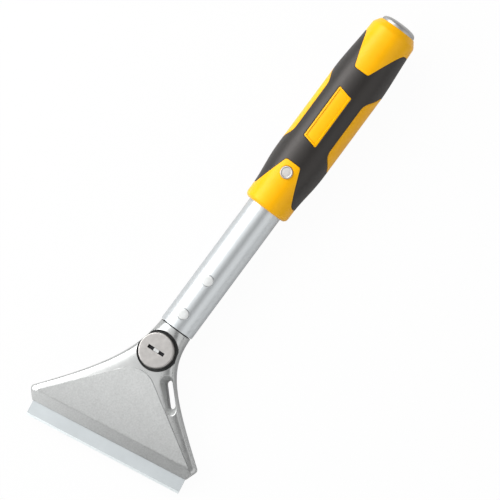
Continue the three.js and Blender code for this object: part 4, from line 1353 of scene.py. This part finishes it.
class SCRAPER_OT_grip(bpy.types.Operator):
    """Dark grip, sunk where the yellow panel and stripes come through."""

    bl_idname = "scraper.grip"
    bl_label = "Make the grip"

    def execute(self, context):
        sizes = context.scene.scraper_sizes
        soft, gap = sizes.moulded_edge, sizes.seam
        inner, rows, columns, depth = CORE_RADIUS + 0.1, 260, 288, 1.2

        def path(angle):
            start, end = front_reach(angle) + gap, HANDLE_LENGTH - rear_reach(angle) - gap
            points = [(start, inner)] + rising_round(start, handle_radius(start), soft, 4)
            for step in range(1, rows):
                x = start + soft + (end - start - 2 * soft) * step / rows
                points.append((x, handle_radius(x)))
            points += falling_round(end, handle_radius(end), soft)
            return points + [(end, inner), (start, inner)]

        shape = ringed_shell(path, columns)
        verts = list(shape.verts)
        places = np.array([vertex.co for vertex in verts], float)
        panel = outline_distance(places[:, [0, 1]], rounded_outline(PANEL_CORNERS))
        panel = np.where(places[:, 2] > 0, panel, np.inf)
        stripe = outline_distance(places[:, [0, 2]], rounded_outline(STRIPE_CORNERS))
        off = np.minimum(panel, stripe) - gap
        bite = np.clip(soft - off, 0, soft)
        sunk = np.where(off < 0, depth, soft - np.sqrt(np.maximum(soft ** 2 - bite ** 2, 0)))
        for vertex, drop in zip(verts, sunk):
            radius = math.hypot(vertex.co.y, vertex.co.z)
            share = (radius - drop) / radius
            vertex.co.y *= share
            vertex.co.z *= share
        piece(shape, "grip_sleeve", ("grained_elastomer",), HANDLE, sharp=1.2)
        return {"FINISHED"}


# Stage. The camera's place, its right and its down are those from which the photograph was taken.

CAMERA_PLACE = (0.0286597, -0.3052106, 1.953271)
CAMERA_RIGHT = Vector((0.5945907, -0.7929184, -0.1332007))
CAMERA_DOWN = Vector((-0.8038847, -0.5894039, -0.0798281))
CAMERA_LENS = 246.24

# Long soft lights, each with its power, its lean from upright to the left and its spread in degrees
STRIP_LIGHTS = (
    ("key_softbox", "key_power", 54.0, 28.0),
    ("key_skirt", "skirt_power", 73.5, 11.0),
    ("shoulder_strip", "shoulder_power", 30.0, 15.0),
    ("top_softbox", "top_power", 7.25, 30.5),
    ("side_card", "card_power", -60.0, 45.0),
)
STRIP_DISTANCE, STRIP_LENGTH, TOOL_MIDDLE = 0.8, 1.6, 0.015


def area_light(name, power, place, length, width):
    lamp = bpy.data.lights.new(name, "AREA")
    lamp.shape = "RECTANGLE"
    lamp.size, lamp.size_y = length, width
    lamp.energy = power
    thing = bpy.data.objects.new(name, lamp)
    thing.matrix_world = place
    thing.visible_camera = False
    bpy.context.scene.collection.objects.link(thing)


def maths(tree, operation, values, links):
    return add_node(tree, "ShaderNodeMath", values, links, operation=operation).outputs["Value"]


def shown_share(tree, gloss):
    """How far a ray sees white: fully from the camera and through glass, by a share off gloss."""
    path = tree.nodes.new("ShaderNodeLightPath").outputs
    share = maths(tree, "MULTIPLY", {1: gloss}, {0: path["Is Glossy Ray"]})
    for kind in ("Is Camera Ray", "Is Transmission Ray"):
        share = maths(tree, "MAXIMUM", {}, {0: share, 1: path[kind]})
    return share


def paper_floor():
    """White floor, leant a little, so that the handle's belly and the rear jaw both touch it."""
    lean = math.atan2(7.1, 182.0)
    belly = Vector((TUBE_LOW.x + (HANDLE_START + BELLY_X) * MM, 0, CAD_BOX[0].z - 0.0001))
    shape = bmesh.new()
    bmesh.ops.create_grid(shape, x_segments=1, y_segments=1, size=4)
    placed(shape, Matrix.Translation(belly) @ Matrix.Rotation(lean, 4, "Y"))
    floor = as_object(shape, "studio_floor")

    material = bpy.data.materials.new("floor_paper")
    material.use_nodes = True
    tree = material.node_tree
    paper = tree.nodes["Principled BSDF"]
    paper.inputs["Base Color"].default_value = (0.7, 0.7, 0.7, 1)
    paper.inputs["Roughness"].default_value = 0.9
    paper.inputs["Specular IOR Level"].default_value = 0.0
    glow = tree.nodes.new("ShaderNodeEmission")
    share = maths(tree, "MULTIPLY", {1: 0.965}, {0: shown_share(tree, 0.15)})
    mix = add_node(tree, "ShaderNodeMixShader", {}, {
        "Fac": share, 1: paper.outputs["BSDF"], 2: glow.outputs["Emission"]})
    tree.links.new(mix.outputs["Shader"], tree.nodes["Material Output"].inputs["Surface"])
    floor.data.materials.append(material)


def grey_room(strength):
    """World that looks white and lights the tool as a grey room."""
    world = bpy.data.worlds.new("studio_room")
    world.use_nodes = True
    tree = world.node_tree
    room = tree.nodes["Background"]
    room.inputs["Color"].default_value = (1, 1, 1, 1)
    level = add_node(tree, "ShaderNodeMapRange", {"To Min": strength, "To Max": 1.0},
                     {"Value": shown_share(tree, 0.1)})
    tree.links.new(level.outputs["Result"], room.inputs["Strength"])
    bpy.context.scene.world = world


def lamps(studio):
    """Strips over the tool and a small card in front of the lip."""
    for name, power, lean, spread in STRIP_LIGHTS:
        place = (Matrix.Translation((0, 0, TOOL_MIDDLE))
                 @ Matrix.Rotation(math.radians(-lean), 4, "X")
                 @ Matrix.Translation((0, 0, STRIP_DISTANCE)))
        width = STRIP_LENGTH * math.tan(math.radians(spread / 2))
        area_light(name, getattr(studio, power), place, STRIP_LENGTH, width)
    spot, lip_end, size = Vector((-0.36, 0.09, 0.068)), Vector((-0.14, 0.05, 0.015)), 0.1
    facing = (lip_end - spot).to_track_quat("-Z", "Y")
    area_light("lip_card", studio.lip_power, Matrix.LocRotScale(spot, facing, None), size, size)


def photo_camera():
    lens = bpy.data.cameras.new("photo_camera")
    lens.lens = CAMERA_LENS
    lens.sensor_width = 36.0
    camera = bpy.data.objects.new("photo_camera", lens)
    up = -CAMERA_DOWN
    view = Matrix((CAMERA_RIGHT, up, CAMERA_RIGHT.cross(up))).transposed().to_4x4()
    camera.matrix_world = Matrix.Translation(CAMERA_PLACE) @ view
    bpy.context.scene.collection.objects.link(camera)
    bpy.context.scene.camera = camera


class SCRAPER_OT_stage(bpy.types.Operator):
    """White floor, grey room, soft lamps and the camera."""

    bl_idname = "scraper.stage"
    bl_label = "Make the stage"

    def execute(self, context):
        studio = context.scene.scraper_studio
        paper_floor()
        grey_room(studio.room)
        lamps(studio)
        photo_camera()
        context.scene.view_settings.view_transform = "Standard"
        return {"FINISHED"}


class SCRAPER_PT_pieces(bpy.types.Panel):
    """Lists the pieces of the scraper and what can be changed."""

    bl_label = "Scraper"
    bl_idname = "SCRAPER_PT_pieces"
    bl_space_type = "VIEW_3D"
    bl_region_type = "UI"
    bl_category = "Scraper"

    def draw(self, context):
        scene = context.scene
        for group in (scene.scraper_sizes, scene.scraper_colours, scene.scraper_studio):
            column = self.layout.column()
            for name in group.__annotations__:
                column.prop(group, name)
        for operator in OPERATORS:
            self.layout.operator(operator.bl_idname)


OPERATORS = (
    SCRAPER_OT_jaws, SCRAPER_OT_blade, SCRAPER_OT_dial, SCRAPER_OT_clamp_parts, SCRAPER_OT_tube,
    SCRAPER_OT_rivets, SCRAPER_OT_cap, SCRAPER_OT_core, SCRAPER_OT_grip, SCRAPER_OT_stage,
)
CLASSES = (ScraperSizes, ScraperColours, ScraperStudio, *OPERATORS, SCRAPER_PT_pieces)


def register():
    for kind in CLASSES:
        bpy.utils.register_class(kind)
    bpy.types.Scene.scraper_sizes = PointerProperty(type=ScraperSizes)
    bpy.types.Scene.scraper_colours = PointerProperty(type=ScraperColours)
    bpy.types.Scene.scraper_studio = PointerProperty(type=ScraperStudio)


def unregister():
    del bpy.types.Scene.scraper_studio
    del bpy.types.Scene.scraper_colours
    del bpy.types.Scene.scraper_sizes
    for kind in reversed(CLASSES):
        bpy.utils.unregister_class(kind)


def main():
    register()
    bpy.ops.scraper.jaws()
    bpy.ops.scraper.blade()
    bpy.ops.scraper.dial()
    bpy.ops.scraper.clamp_parts()
    bpy.ops.scraper.tube()
    bpy.ops.scraper.rivets()
    bpy.ops.scraper.cap()
    bpy.ops.scraper.core()
    bpy.ops.scraper.grip()
    bpy.ops.scraper.stage()


if __name__ == "__main__":
    main()
